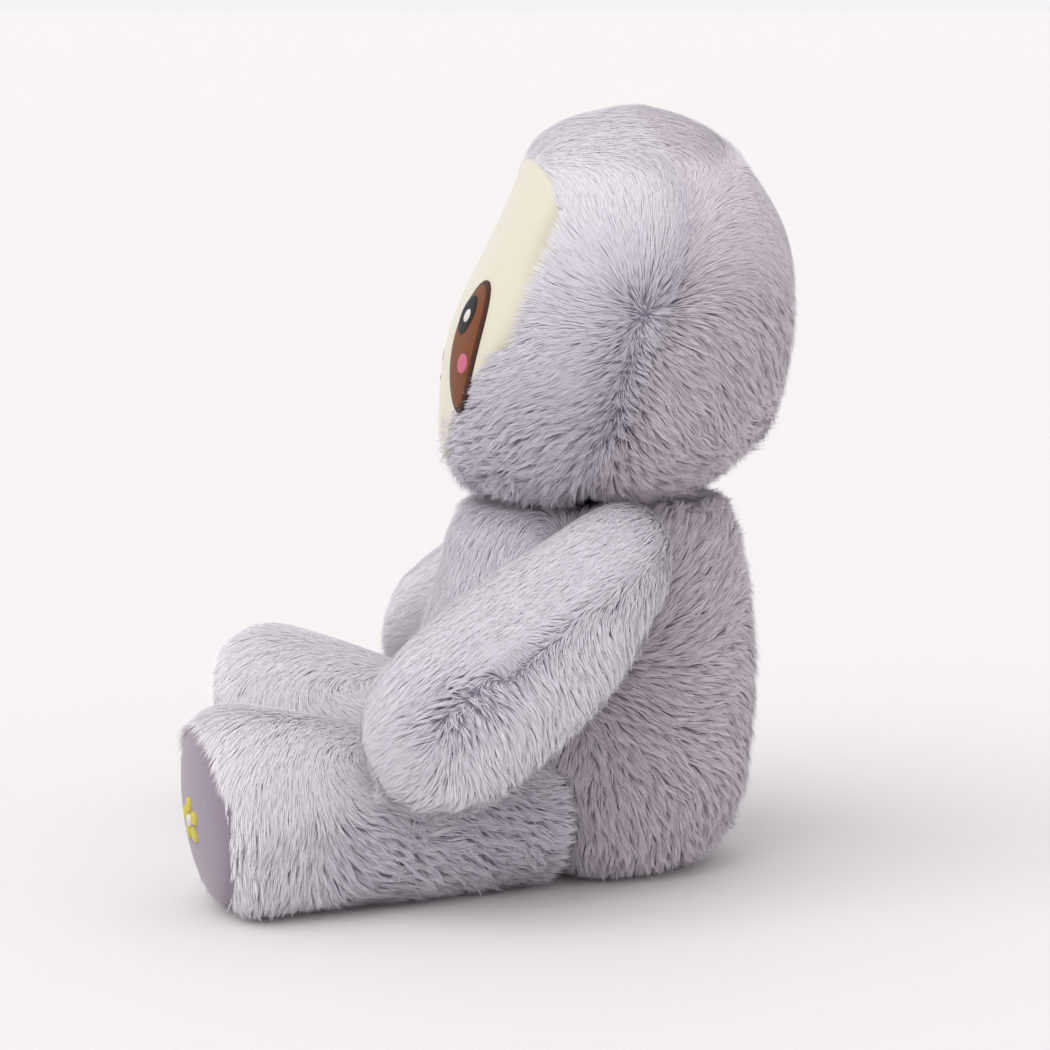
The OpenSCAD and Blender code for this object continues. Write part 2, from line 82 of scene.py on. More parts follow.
# %% Camera
camera_data = bpy.data.cameras.new("camera")
camera_data.lens = 120
camera = bpy.data.objects.new("camera", camera_data)
bpy.context.scene.collection.objects.link(camera)
bpy.context.scene.camera = camera
LOOK_AT = np.array([0, 11.5, 132.0])
DISTANCE = 1365
RISE = math.radians(8.5)
place = LOOK_AT + DISTANCE * np.array([math.cos(RISE), 0, math.sin(RISE)])
camera.location = place * MM
camera.rotation_euler = (math.radians(90) - RISE, 0, math.radians(90))

# %% Light
world = bpy.data.worlds.new("studio")
bpy.context.scene.world = world
world.use_nodes = True
world.node_tree.nodes["Background"].inputs["Color"].default_value = (0.95, 0.94, 0.96, 1)
world.node_tree.nodes["Background"].inputs["Strength"].default_value = 0.95
bpy.context.scene.view_settings.view_transform = "Standard"


def soft_sun(name, spread, strength, ray, colour):
    """A sun of a wide angle, which lights the whole floor evenly. Its ray is a direction."""
    data = bpy.data.lights.new(name, "SUN")
    data.angle = math.radians(spread)
    data.energy = strength
    data.color = colour
    lamp = bpy.data.objects.new(name, data)
    bpy.context.scene.collection.objects.link(lamp)
    lamp.rotation_euler = (math.atan2(math.hypot(ray[0], ray[1]), -ray[2]), 0, math.atan2(-ray[0], ray[1]))


soft_sun("key_light", 60, 1.35, (-0.45, 0.55, -1.0), (1.0, 0.985, 0.975))


# %% [markdown]
# ## Curves and sections
#
# Each soft form is a stack of rounded sections, as a pattern maker would draw it: a width, a
# front and a back at a few heights. A cubic curve through those few numbers gives every height
# in between, so the forms stay smooth however finely they are divided.


# %% Smooth curves through a few rows
def curve(*rows):
    """A smooth curve through rows of (place, value), as a function of the place."""
    x, y = np.array(rows, float).T
    slope = np.gradient(y, x)

    def at(t):
        t = np.clip(t, x[0], x[-1])
        i = np.clip(np.searchsorted(x, t, side="right") - 1, 0, len(x) - 2)
        h = x[i + 1] - x[i]
        s = (t - x[i]) / h
        start = (2 * s**3 - 3 * s**2 + 1) * y[i] + (s**3 - 2 * s**2 + s) * h * slope[i]
        return start + (3 * s**2 - 2 * s**3) * y[i + 1] + (s**3 - s**2) * h * slope[i + 1]

    return at


def curves(places, *columns):
    """Several smooth curves with their values at the same places."""
    return [curve(*zip(places, column)) for column in columns]


def unit(v):
    """Vectors of length one."""
    return v / np.maximum(np.linalg.norm(v, axis=-1, keepdims=True), 1e-9)


def smooth(low, high, v):
    """0 below low, 1 above high, and an even ramp between them."""
    s = np.clip((v - low) / (high - low), 0, 1)
    return s * s * (3 - 2 * s)


def node_middle(node):
    """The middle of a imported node's box, in millimetres."""
    low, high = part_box(node)
    return np.array((low + high) / 2) / MM


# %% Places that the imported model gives
joints = {j["name"]: j for j in frame["joints"]}
shoulder = np.array(joints["arm_left_swing"]["pos_m"]) / MM
hip = np.array(joints["leg_left_splay"]["pos_m"]) / MM
AXIS_Y = node_middle("neck_seam")[1] + 12
TRUNK_H = 143
HEAD_LOW = np.array(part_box("head_fill")[0])[2] / MM - 2.8
print("shoulder", shoulder.round(1), "hip", hip.round(1), "axis", round(AXIS_Y, 1))

# %% [markdown]
# ## The forms under the pile
#
# The outline of a long-pile toy is the tips of its pile. The cloth lies a few millimetres
# deeper, so every form is drawn at its outline, and then taken in by the height at which its
# pile stands. A grid holds a form: its rows go up or along it, and its columns go around.


# %% Trunk form
trunk_width, trunk_front, trunk_back = curves(
    (0, 0.05, 0.17, 0.35, 0.52, 0.66, 0.84, 0.94, 1),
    (0.66, 0.82, 0.94, 0.99, 1.0, 0.98, 0.88, 0.78, 0.68),
    (-0.44, -0.53, -0.61, -0.65, -0.66, -0.645, -0.59, -0.56, -0.52),
    (0.13, 0.22, 0.305, 0.335, 0.345, 0.34, 0.315, 0.29, 0.255),
)
TRUNK_W, TRUNK_D, SEAT_UP = 122, 133, 1.5


def oval(u, a, b):
    """Reach of an oval with half axes a, sideways, and b, forwards, at angle u from forwards."""
    return a * b / np.hypot(b * np.sin(u), a * np.cos(u))


def trunk_at(u, k, inset, shrink=1.0):
    """A point of the trunk at an angle from forwards and a share of its height."""
    a = trunk_width(k) * TRUNK_W / 2 - inset
    b = (trunk_back(k) - trunk_front(k)) / 2 * TRUNK_D - inset
    mid = AXIS_Y + (trunk_back(k) + trunk_front(k)) / 2 * TRUNK_D
    reach = oval(u, a, b) * shrink
    z = k * (TRUNK_H - inset - 1) + SEAT_UP
    return np.stack([np.sin(u) * reach, mid - np.cos(u) * reach, z + 0 * u], -1)


def trunk_grid(inset, count=72):
    """The whole trunk: across the seat, up the sides and in to the neck."""
    turns = np.radians(np.linspace(-180, 180, count, endpoint=False))
    rows = [(0.0, s) for s in (0.05, 0.3, 0.55, 0.78, 0.93)]
    rows += [(k, 1.0) for k in np.linspace(0.012, 1, 34)]
    rows += [(1.0, s) for s in (0.9, 0.7, 0.4, 0.08)]
    return np.array([trunk_at(turns, k, inset, s) for k, s in rows])


# %% Head form
HEAD_W, HEAD_L, HEAD_H = 150, 138, 145
HEAD_Y = AXIS_Y - 9
head_width, head_front, head_back = curves(
    (-0.045, 0, 0.04, 0.10, 0.20, 0.30, 0.40, 0.50, 0.60, 0.70, 0.80, 0.88, 0.94, 0.98, 1),
    (0.27, 0.36, 0.405, 0.44, 0.475, 0.494, 0.5, 0.497, 0.48, 0.446, 0.386, 0.315, 0.235, 0.14, 0.06),
    (-0.39, -0.455, -0.485, -0.505, -0.507, -0.50, -0.479, -0.44, -0.388, -0.337, -0.292, -0.262,
        -0.21, -0.115, -0.02),
    (0.21, 0.275, 0.325, 0.395, 0.455, 0.485, 0.497, 0.50, 0.493, 0.462, 0.403, 0.335, 0.265, 0.18,
        0.11),
)


def head_axes(k, inset):
    """Half width, half length and middle of the head's section at a share of its height."""
    a = head_width(k) * HEAD_W - inset
    b = (head_back(k) - head_front(k)) / 2 * HEAD_L - inset
    return a, b, HEAD_Y + (head_back(k) + head_front(k)) / 2 * HEAD_L


def head_at(u, k, inset, shrink=1.0):
    """A point of the head at an angle from forwards and a share of its height."""
    a, b, mid = head_axes(k, inset)
    reach = oval(u, np.maximum(a, 1), np.maximum(b, 1)) * shrink
    z = HEAD_LOW + inset + k * (HEAD_H - 2 * inset)
    return np.stack([np.sin(u) * reach, mid - np.cos(u) * reach, z + 0 * u], -1)


def head_grid(inset, count=90):
    """The whole head, from the middle of its underside to the top."""
    turns = np.radians(np.linspace(-180, 180, count, endpoint=False))
    rows = [(-0.04, s) for s in (0.1, 0.4, 0.7, 0.9)]
    rows += [(1.04 * (1 - math.cos(math.pi * k)) / 2 - 0.04, 1.0) for k in np.linspace(0, 1, 44)]
    rows += [(1.002, 0.55), (1.003, 0.06)]

    def leaned(k):
        """The columns at a height. They lean back as they rise, with the seam behind the cheek."""
        return turns + 0.38 * min(max(k - 0.1, 0), 0.85) * np.sin(turns) * np.abs(np.sin(turns))

    return np.array([head_at(leaned(k), k, inset, s) for k, s in rows])


# %% Arm form
ARM_LEN, ARM_W, ARM_T, ARM_ROOT = 153, 68, 40, 18
ARM_TILT, ARM_DROP = math.radians(30), math.radians(44)
arm_width, arm_depth = curves(
    (0, 0.02, 0.06, 0.13, 0.25, 0.40, 0.57, 0.73, 0.84, 0.92, 0.97, 1),
    (0.10, 0.30, 0.46, 0.62, 0.77, 0.91, 0.99, 1.0, 0.95, 0.77, 0.50, 0.12),
    (0.10, 0.28, 0.44, 0.57, 0.71, 0.85, 0.96, 1.0, 0.93, 0.72, 0.45, 0.12),
)
arm_out = np.array([math.cos(ARM_TILT), 0, math.sin(ARM_TILT)])
arm_along = np.array([math.sin(ARM_TILT) * math.sin(ARM_DROP), -math.cos(ARM_DROP),
    -math.cos(ARM_TILT) * math.sin(ARM_DROP)])
# Across the paddle, towards its lower edge. The loose paw sags a little that way.
arm_across = np.cross(arm_out, arm_along)
ARM_SAG = arm_across * 9.5


def arm_grid(inset, count=40):
    """The left arm, a flat paddle whose inner face lies on the side of the trunk."""
    turns = np.radians(np.linspace(0, 360, count, endpoint=False))
    grid = []
    for s in (1 - np.cos(np.pi * np.linspace(0.02, 0.985, 42))) / 2:
        w = max(arm_width(s) * ARM_W / 2 - inset, 1)
        t = max(arm_depth(s) * ARM_T / 2 - inset, 1)
        far = -ARM_ROOT + inset + s * (ARM_LEN - 2 * inset)
        far = far * 0.8 if far < 0 else far
        out = arm_depth(s) * ARM_T / 2
        middle = shoulder + arm_along * far + arm_out * out + ARM_SAG * smooth(-0.15, 0.45, s)
        grid.append([middle + arm_across * (w * math.cos(a)) + arm_out * (t * math.sin(a)) for a in turns])
    return np.array(grid)


# %% Leg form
LEG_LEN, THIGH_R, FOOT_H, FOOT_W = 124.5, 27, 78, 69
RIM_IN, RIM_REACH = 3.5, 9
LEG_SPLAY, PAD_LEAN = math.radians(20), math.radians(4.5)
leg_growth = curve((0, 0), (0.15, 0.06), (0.35, 0.28), (0.55, 0.58), (0.75, 0.86), (0.88, 1.0),
    (1, 0.97))
leg_along = np.array([math.sin(LEG_SPLAY), -math.cos(LEG_SPLAY), 0])
leg_across = np.array([math.cos(LEG_SPLAY), math.sin(LEG_SPLAY), 0])
UP = np.array([0, 0, 1.0])


def leg_size(s):
    """Half the breadth and half the height of the leg at a distance from the hip."""
    g = leg_growth(np.maximum(s, 0) / LEG_LEN)
    return np.array([THIGH_R + g * (FOOT_W / 2 - THIGH_R), THIGH_R + g * (FOOT_H / 2 - THIGH_R)])


def leg_lean(s):
    """How far a ring of the leg leans, so that the last one is parallel to the foot pad."""
    return math.tan(PAD_LEAN) * smooth(0.55 * LEG_LEN, LEG_LEN, s)


def leg_section(s, w, h, turns):
    """The section of the leg, round at the hip and flatter on the ground at the foot."""
    square = 1 - 0.42 * smooth(0, 0.5 * LEG_LEN, s)
    power = np.where(np.sin(turns) < 0, square, 1 - (1 - square) * 0.4)
    across = w * np.sign(np.cos(turns)) * np.abs(np.cos(turns)) ** power
    return across, h * np.sign(np.sin(turns)) * np.abs(np.sin(turns)) ** power


def leg_ring(s, w, h, turns):
    """One ring of the left leg, with its lowest point kept on the ground."""
    across, rise = leg_section(s, w, h, turns)
    far = s + leg_lean(s) * rise
    z = leg_size(s)[1] + rise
    ring = hip * [1, 1, 0] + np.outer(far, leg_along) + np.outer(across, leg_across)
    return ring + np.outer(z, UP)


def leg_grid(inset, count=56):
    """The left leg: its round root, then its shaft, whose foot turns in to the rim of the pad."""
    turns = np.radians(np.linspace(0, 360, count, endpoint=False))
    r = THIGH_R - inset
    rows = [leg_ring(0.5 * r * math.sin(b), r * math.cos(b), r * math.cos(b), turns)
        for b in np.radians([-84, -68, -52, -36, -20, -8])]
    for s in np.linspace(2, LEG_LEN - 1, 36):
        w, h = leg_size(s) - inset - RIM_IN * smooth(LEG_LEN - RIM_REACH, LEG_LEN, s)
        rows.append(leg_ring(s, w, h, turns))
    grid = np.array(rows)
    grid[..., 2] = np.maximum(grid[..., 2], 1.2)
    return grid


# %% [markdown]
# ## Blowing the covers up
#
# A sewn cover is full because the filling presses outwards from inside. Inflating by hand with
# a scale would swell everything alike. Blender's Cloth with a little pressure does what the
# filling does: flat places bow out and tight curves hold. Each form starts slightly small, no
# gravity pulls on it, and no point may move further than a cap, so that the sizes hold.


# %% Mesh of a closed form
def mesh_of(name, points, faces):
    """A smooth mesh of points in millimetres."""
    mesh = bpy.data.meshes.new(name)
    mesh.from_pydata((points.reshape(-1, 3) * MM).tolist(), [], faces)
    mesh.shade_smooth()
    return mesh


def closed_mesh(name, grid):
    """A closed mesh of a grid, with one point at each end."""
    rows, cols = grid.shape[:2]
    points = np.concatenate([grid.reshape(-1, 3), [grid[0].mean(0), grid[-1].mean(0)]])
    j = np.arange(cols)
    n = (j + 1) % cols
    faces = []
    for r in range(rows - 1):
        a, b = r * cols, (r + 1) * cols
        faces += np.stack([a + j, a + n, b + n, b + j], -1).tolist()
    faces += np.stack([n, j, np.full(cols, rows * cols)], -1).tolist()
    top = (rows - 1) * cols
    faces += np.stack([top + j, top + n, np.full(cols, rows * cols + 1)], -1).tolist()
    return mesh_of(name, points, faces)


def add_object(mesh):
    """An object of a mesh, in the scene and at the origin."""
    thing = bpy.data.objects.new(mesh.name, mesh)
    bpy.context.scene.collection.objects.link(thing)
    return thing


# %% Pressure in the covers
CAP, STEPS = 2.2, 20


def blown_up(grids):
    """The same grids after the pressure of the filling has pushed them out, within the cap."""
    bags = {name: add_object(closed_mesh("bag_" + name, grid)) for name, grid in grids.items()}
    for bag in bags.values():
        cloth = bag.modifiers.new("cloth", "CLOTH")
        cloth.settings.quality = 4
        cloth.settings.mass = 0.2
        cloth.settings.tension_stiffness = 18
        cloth.settings.compression_stiffness = 18
        cloth.settings.bending_stiffness = 0.4
        cloth.settings.use_pressure = True
        cloth.settings.uniform_pressure_force = 4
        cloth.settings.effector_weights.gravity = 0
    for step in range(1, STEPS + 1):
        bpy.context.scene.frame_set(step)
    graph = bpy.context.evaluated_depsgraph_get()
    result = {}
    for name, bag in bags.items():
        swollen = np.empty(len(bag.data.vertices) * 3)
        bag.evaluated_get(graph).data.vertices.foreach_get("co", swollen)
        grid = grids[name]
        moved = swollen.reshape(-1, 3)[: grid.shape[0] * grid.shape[1]] / MM - grid.reshape(-1, 3)
        length = np.linalg.norm(moved, axis=1, keepdims=True)
        moved *= np.minimum(1, CAP / np.maximum(length, 1e-6))
        result[name] = grid + moved.reshape(grid.shape)
        result[name][..., 2] = np.maximum(result[name][..., 2], 1.0)
        print(name, "moved at most", round(float(length.max()), 1), "mm before the cap")
        bpy.data.objects.remove(bag)
    bpy.context.scene.frame_set(1)
    return result


# How far the cloth lies inside the outline. The pile of the trunk and the arms lies flatter than
# that of the head and the legs. The slack is room for the filling to push the cloth out.
PILE_FLAT, PILE_UP, SLACK = 1.6, 2.4, 1.0
slack = SLACK
forms = {
    "trunk": trunk_grid(PILE_FLAT + slack),
    "head": head_grid(PILE_UP + slack),
    "arm": arm_grid(PILE_FLAT + slack),
    "leg": leg_grid(PILE_UP + slack),
}
forms = blown_up(forms)


# %% [markdown]
# ## Seams
#
# Where two plush panels meet, the stitching pulls the cloth inwards and the pile parts over it.
# The simulation knows nothing of seams, so they are pressed in afterwards: every point near a
# seam's column moves inwards, most of all on the seam itself.


# %% Normals and seam valleys
def grid_normals(grid, closed=True):
    """Outward directions at every point of a grid."""
    if closed:
        around = np.roll(grid, -1, 1) - np.roll(grid, 1, 1)
    else:
        around = np.gradient(grid, axis=1)
    return unit(np.cross(around, np.gradient(grid, axis=0)))


def pressed(grid, column, depth, spread, top=1000.0):
    """The grid with a seam valley along one column, in millimetres. It fades out below the top."""
    away = np.linalg.norm(grid - grid[:, column : column + 1], axis=-1)
    push = depth * np.exp(-((away / spread) ** 2)) * smooth(top, top - 30, grid[..., 2])
    return grid - grid_normals(grid) * push[..., None]


def column_at(grid_name, degrees, first):
    """The column of a form that lies nearest to an angle."""
    cols = forms[grid_name].shape[1]
    return round((degrees - first) / 360 * cols) % cols


SIDE_SEAM, CHEEK_SEAM, FACE_EDGE = 75, 92, 52
for turn in (-SIDE_SEAM, SIDE_SEAM, -180):
    forms["trunk"] = pressed(forms["trunk"], column_at("trunk", turn, -180), 3.2, 7)
for turn in (-CHEEK_SEAM, CHEEK_SEAM, -180):
    forms["head"] = pressed(forms["head"], column_at("head", turn, -180), 4.0, 7, 288)
for turn in (0, 180):
    forms["arm"] = pressed(forms["arm"], column_at("arm", turn, 0), 1.0, 5)


# %% [markdown]
# ## Materials
#
# The pile needs colour in three scales: dark at the roots and lighter at the tips, which is painted
# shade deep in the pile; lighter and darker locks; and painted light and shade over the toy, lighter
# on top and darker underneath and along seams. All of it comes from one small map on each fibre,
# whose first number is its tone and whose second is the way from root to tip. A shader group
# turns that map into colour, and the light and the mauve plush share it.


# %% Small helpers for node trees
def put(tree, kind, inputs=None, **settings):
    """Adds a node. Inputs are plain values, or sockets to link from."""
    node = tree.nodes.new(kind)
    for key, value in settings.items():
        setattr(node, key, value)
    for key, value in (inputs or {}).items():
        if isinstance(value, bpy.types.NodeSocket):
            tree.links.new(value, node.inputs[key])
        else:
            node.inputs[key].default_value = value
    return node


def arithmetic(tree, operation, a, b=0.0, c=0.0):
    """The value socket of a sum."""
    return put(tree, "ShaderNodeMath", {0: a, 1: b, 2: c}, operation=operation).outputs[0]


def finish_of(name, roughness, sheen=0.0):
    """A new material with a plain Principled shader, and its tree and shader."""
    material = bpy.data.materials.new(name)
    material.use_nodes = True
    shader = material.node_tree.nodes["Principled BSDF"]
    shader.inputs["Roughness"].default_value = roughness
    shader.inputs["Sheen Weight"].default_value = sheen
    shader.inputs["Sheen Roughness"].default_value = 0.5
    shader.inputs["Specular IOR Level"].default_value = 0.25
    return material, material.node_tree, shader


def mixed(tree, factor, a, b, blend="MIX"):
    """The colour socket of a mix of two colours."""
    node = put(tree, "ShaderNodeMix", {0: factor, 6: a, 7: b}, data_type="RGBA", blend_type=blend)
    return node.outputs[2]


def sockets(tree, way, kind, *names):
    """New sockets of one kind on a node group."""
    return [tree.interface.new_socket(name, in_out=way, socket_type="NodeSocket" + kind)
        for name in names]


def colour(r, g, b):
    """A colour as the eye names it, from 0 to 255, for a shader's socket."""
    def linear(v):
        v /= 255
        return v / 12.92 if v < 0.04045 else ((v + 0.055) / 1.055) ** 2.4

    return (linear(r), linear(g), linear(b), 1)


# %% Colour of a fibre
fibre_group = bpy.data.node_groups.new("fibre_colour", "ShaderNodeTree")
sockets(fibre_group, "INPUT", "Color", "Root", "Tip", "Pale")
sockets(fibre_group, "OUTPUT", "Color", "Color")
ends = put(fibre_group, "NodeGroupInput")
fibre_map = put(fibre_group, "ShaderNodeUVMap", uv_map="OFBake")
parts = put(fibre_group, "ShaderNodeSeparateXYZ", {0: fibre_map.outputs[0]})
# Painted shade: the root colour is darker than the tip and stands for the shade deep in the pile. The tone
# mixes each fibre towards the pale colour, which carries lighter locks and painted light.
rising = put(fibre_group, "ShaderNodeMapRange", {0: parts.outputs[1], 1: 0.0, 2: 0.75},
    interpolation_type="SMOOTHSTEP")
along_fibre = mixed(fibre_group, rising.outputs[0], ends.outputs["Root"], ends.outputs["Tip"])
toned = mixed(fibre_group, parts.outputs[0], along_fibre, ends.outputs["Pale"])
put(fibre_group, "NodeGroupOutput", {0: toned})


def pile_finish(name, root, tip, pale):
    """Long plush pile: matt fibres with a soft sheen."""
    material, tree, shader = finish_of(name, 0.8, 0.25)
    group = put(tree, "ShaderNodeGroup", {"Root": root, "Tip": tip, "Pale": pale},
        node_tree=fibre_group)
    tree.links.new(group.outputs[0], shader.inputs["Base Color"])
    return material


# Painted shade and light: each plush has a dark root colour for the shade deep in its pile, a tip colour,
# and a pale colour that also takes the painted light.
light_pile = pile_finish("light_pile", colour(132, 126, 144), colour(212, 207, 217),
    colour(240, 236, 241))
mauve_pile = pile_finish("mauve_pile", colour(122, 110, 122), colour(202, 191, 201),
    colour(237, 231, 237))

# %% Nap
# Cloth that has no long pile still isn't flat colour: short nap is a fine uneven fuzz, so one
# group gives a mottled shade and a height to every such cloth.
nap_group = bpy.data.node_groups.new("nap", "ShaderNodeTree")
sockets(nap_group, "INPUT", "Color", "Base")
sockets(nap_group, "INPUT", "Float", "Grain", "Mottle", "Patch")
sockets(nap_group, "OUTPUT", "Color", "Color")
sockets(nap_group, "OUTPUT", "Float", "Height")
ends = put(nap_group, "NodeGroupInput")
spot = put(nap_group, "ShaderNodeTexCoord")
fine = put(nap_group, "ShaderNodeTexNoise", {"Vector": spot.outputs["Object"],
    "Scale": ends.outputs["Grain"], "Detail": 4.0, "Roughness": 0.65})
broad = put(nap_group, "ShaderNodeTexNoise", {"Vector": spot.outputs["Object"],
    "Scale": ends.outputs["Patch"], "Detail": 3.0})
both = arithmetic(nap_group, "ADD", fine.outputs[0], broad.outputs[0])
swing = arithmetic(nap_group, "SUBTRACT", both, 1.0)
factor = arithmetic(nap_group, "MULTIPLY_ADD", swing, ends.outputs["Mottle"], 1.0)
grey = put(nap_group, "ShaderNodeCombineColor", {0: factor, 1: factor, 2: factor})
shaded = mixed(nap_group, 1.0, ends.outputs["Base"], grey.outputs[0], "MULTIPLY")
put(nap_group, "NodeGroupOutput", {0: shaded, 1: fine.outputs[0]})


def nap_finish(name, base, grain, mottle, patch=60.0, bump=0.12, roughness=0.8, sheen=0.3):
    """Cloth with a short nap."""
    material, tree, shader = finish_of(name, roughness, sheen)
    group = put(tree, "ShaderNodeGroup", {"Base": base, "Grain": grain, "Mottle": mottle,
        "Patch": patch}, node_tree=nap_group)
    rough = put(tree, "ShaderNodeBump", {"Height": group.outputs["Height"], "Strength": bump,
        "Distance": 0.001})
    tree.links.new(group.outputs["Color"], shader.inputs["Base Color"])
    tree.links.new(rough.outputs[0], shader.inputs["Normal"])
    return material


face_nap = nap_finish("face_nap", colour(211, 206, 187), 1400.0, 0.05, 40.0, 0.06, 0.62, 0.35)
pad_nap = nap_finish("pad_nap", colour(141, 128, 142), 1100.0, 0.16, 90.0, 0.25, 0.85, 0.35)
light_cloth = nap_finish("light_cloth", colour(150, 146, 162), 700.0, 0.2)
mauve_cloth = nap_finish("mauve_cloth", colour(140, 132, 148), 700.0, 0.2)
fibre_filling = nap_finish("fibre_filling", colour(238, 238, 236), 260.0, 0.10, 120.0, 0.6, 0.9, 0.2)
bag_cloth = nap_finish("bag_cloth", colour(224, 220, 210), 1500.0, 0.08, 90.0, 0.3, 0.85, 0.1)
seam_cloth = nap_finish("seam_cloth", colour(152, 146, 158), 900.0, 0.15, 90.0, 0.3, 0.9, 0.1)


# %% Satin stitch
# Embroidery is rows of tight glossy thread. Fine bands across each patch's own map give the
# rows, and between two rows the thread is painted a little darker, as painted shade in the groove.
def satin_finish(name, base, shaded_groove, rows=70.0):
    """Satin-stitched thread, with its rows along one way of the piece's own map."""
    material, tree, shader = finish_of(name, 0.5, 0.05)
    way = put(tree, "ShaderNodeUVMap", uv_map="OFBake")
    bands = put(tree, "ShaderNodeTexWave", {"Vector": way.outputs[0], "Scale": rows,
        "Distortion": 1.2, "Detail": 2.0, "Detail Scale": 3.0}, wave_type="BANDS", bands_direction="Y")
    # Painted shade: the thread is darker between the rows.
    shade = put(tree, "ShaderNodeMapRange", {0: bands.outputs[1], 3: 0.0, 4: 0.45})
    bump = put(tree, "ShaderNodeBump", {"Height": bands.outputs[1], "Strength": 0.5,
        "Distance": 0.0004})
    tree.links.new(mixed(tree, shade.outputs[0], base, shaded_groove), shader.inputs["Base Color"])
    tree.links.new(bump.outputs[0], shader.inputs["Normal"])
    return material


brown_thread = satin_finish("brown_thread", colour(132, 74, 30), colour(96, 48, 16))
dark_thread = satin_finish("dark_thread", colour(74, 34, 16), colour(48, 20, 10))
black_thread = satin_finish("black_thread", colour(22, 18, 20), colour(8, 6, 8), 40.0)
white_thread = satin_finish("white_thread", colour(244, 243, 240), colour(214, 212, 208), 24.0)
pink_thread = satin_finish("pink_thread", colour(222, 122, 146), colour(190, 84, 108), 28.0)
yellow_thread = satin_finish("yellow_thread", colour(228, 216, 92), colour(196, 180, 60), 20.0)
print("materials:", len(bpy.data.materials))


# %% [markdown]
# ## Panels
#
# A panel is a stretch of a form's rows and columns, given the thickness of the cloth. The right
# side of the toy is the left side seen in a mirror. Mirroring a grid turns its faces inside
# out, so its columns are turned round too.


# %% A panel of cloth
CLOTH = 1.0


def mirrored(grid, *fields):
    """A grid and its fields for the other side of the toy."""
    flip = np.array([-1, 1, 1])
    out = [grid[:, ::-1] * flip]
    for field in fields:
        turned = field[:, ::-1]
        out.append(turned * flip if field.ndim == 3 else turned)
    return out


def quads(rows, cols):
    """The faces of an open grid of points."""
    a = (np.arange(rows - 1)[:, None] * cols + np.arange(cols - 1)).ravel()
    return np.stack([a, a + 1, a + 1 + cols, a + cols], -1)


def panel_mesh(name, grid, normals):
    """A closed thin panel: its outer face, its lining and its cut edge."""
    rows, cols = grid.shape[:2]
    lining = grid - normals * CLOTH
    points = np.concatenate([grid.reshape(-1, 3), lining.reshape(-1, 3)])
    face = quads(rows, cols)
    total = rows * cols
    edge = np.concatenate([np.arange(cols - 1), np.arange(rows - 1) * cols + cols - 1,
        (rows - 1) * cols + np.arange(cols - 1, 0, -1), np.arange(rows - 1, 0, -1) * cols])
    after = np.roll(edge, -1)
    rim = np.stack([after, edge, edge + total, after + total], -1)
    faces = np.concatenate([face, face[:, ::-1] + total, rim])
    return mesh_of(name, points, faces.tolist())


def dress(name, mesh, body, finish, slot, *nodes):
    """Makes a mesh a piece of the toy: its finish, its body and the nodes that it stands for."""
    mesh.name = name
    piece = add_object(mesh)
    mesh.materials.clear()
    mesh.materials.append(finish)
    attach(piece, body)
    if nodes:
        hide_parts(*nodes)
    return piece


# %% [markdown]
# ## Pile
#
# Long pile could be hair particles, but those don't travel with an exported model. Here each
# fibre is three small triangles, a blade that arches from its root to its tip, and Geometry
# Nodes plants hundreds of thousands of them. The tree scatters roots over the cloth, leans each
# fibre the way the pile is combed, and pulls the tips of each small cell together. That last
# step is what makes locks: real plush fibres cling, so their tips meet and dark gaps open
# between them.

# %% One fibre
blade_mesh = bpy.data.meshes.new("fibre")
blade_mesh.from_pydata(
    [(-0.5, 0, 0), (0.5, 0, 0), (-0.42, 0.5, 0.10), (0.42, 0.5, 0.10), (0, 1, 0)],
    [],
    [(0, 1, 3), (0, 3, 2), (2, 3, 4)],
)
blade_mesh.shade_smooth()
blade_share = blade_mesh.attributes.new("along", "FLOAT", "POINT")
blade_share.data.foreach_set("value", [0, 0, 0.5, 0.5, 1])
blade = add_object(blade_mesh)


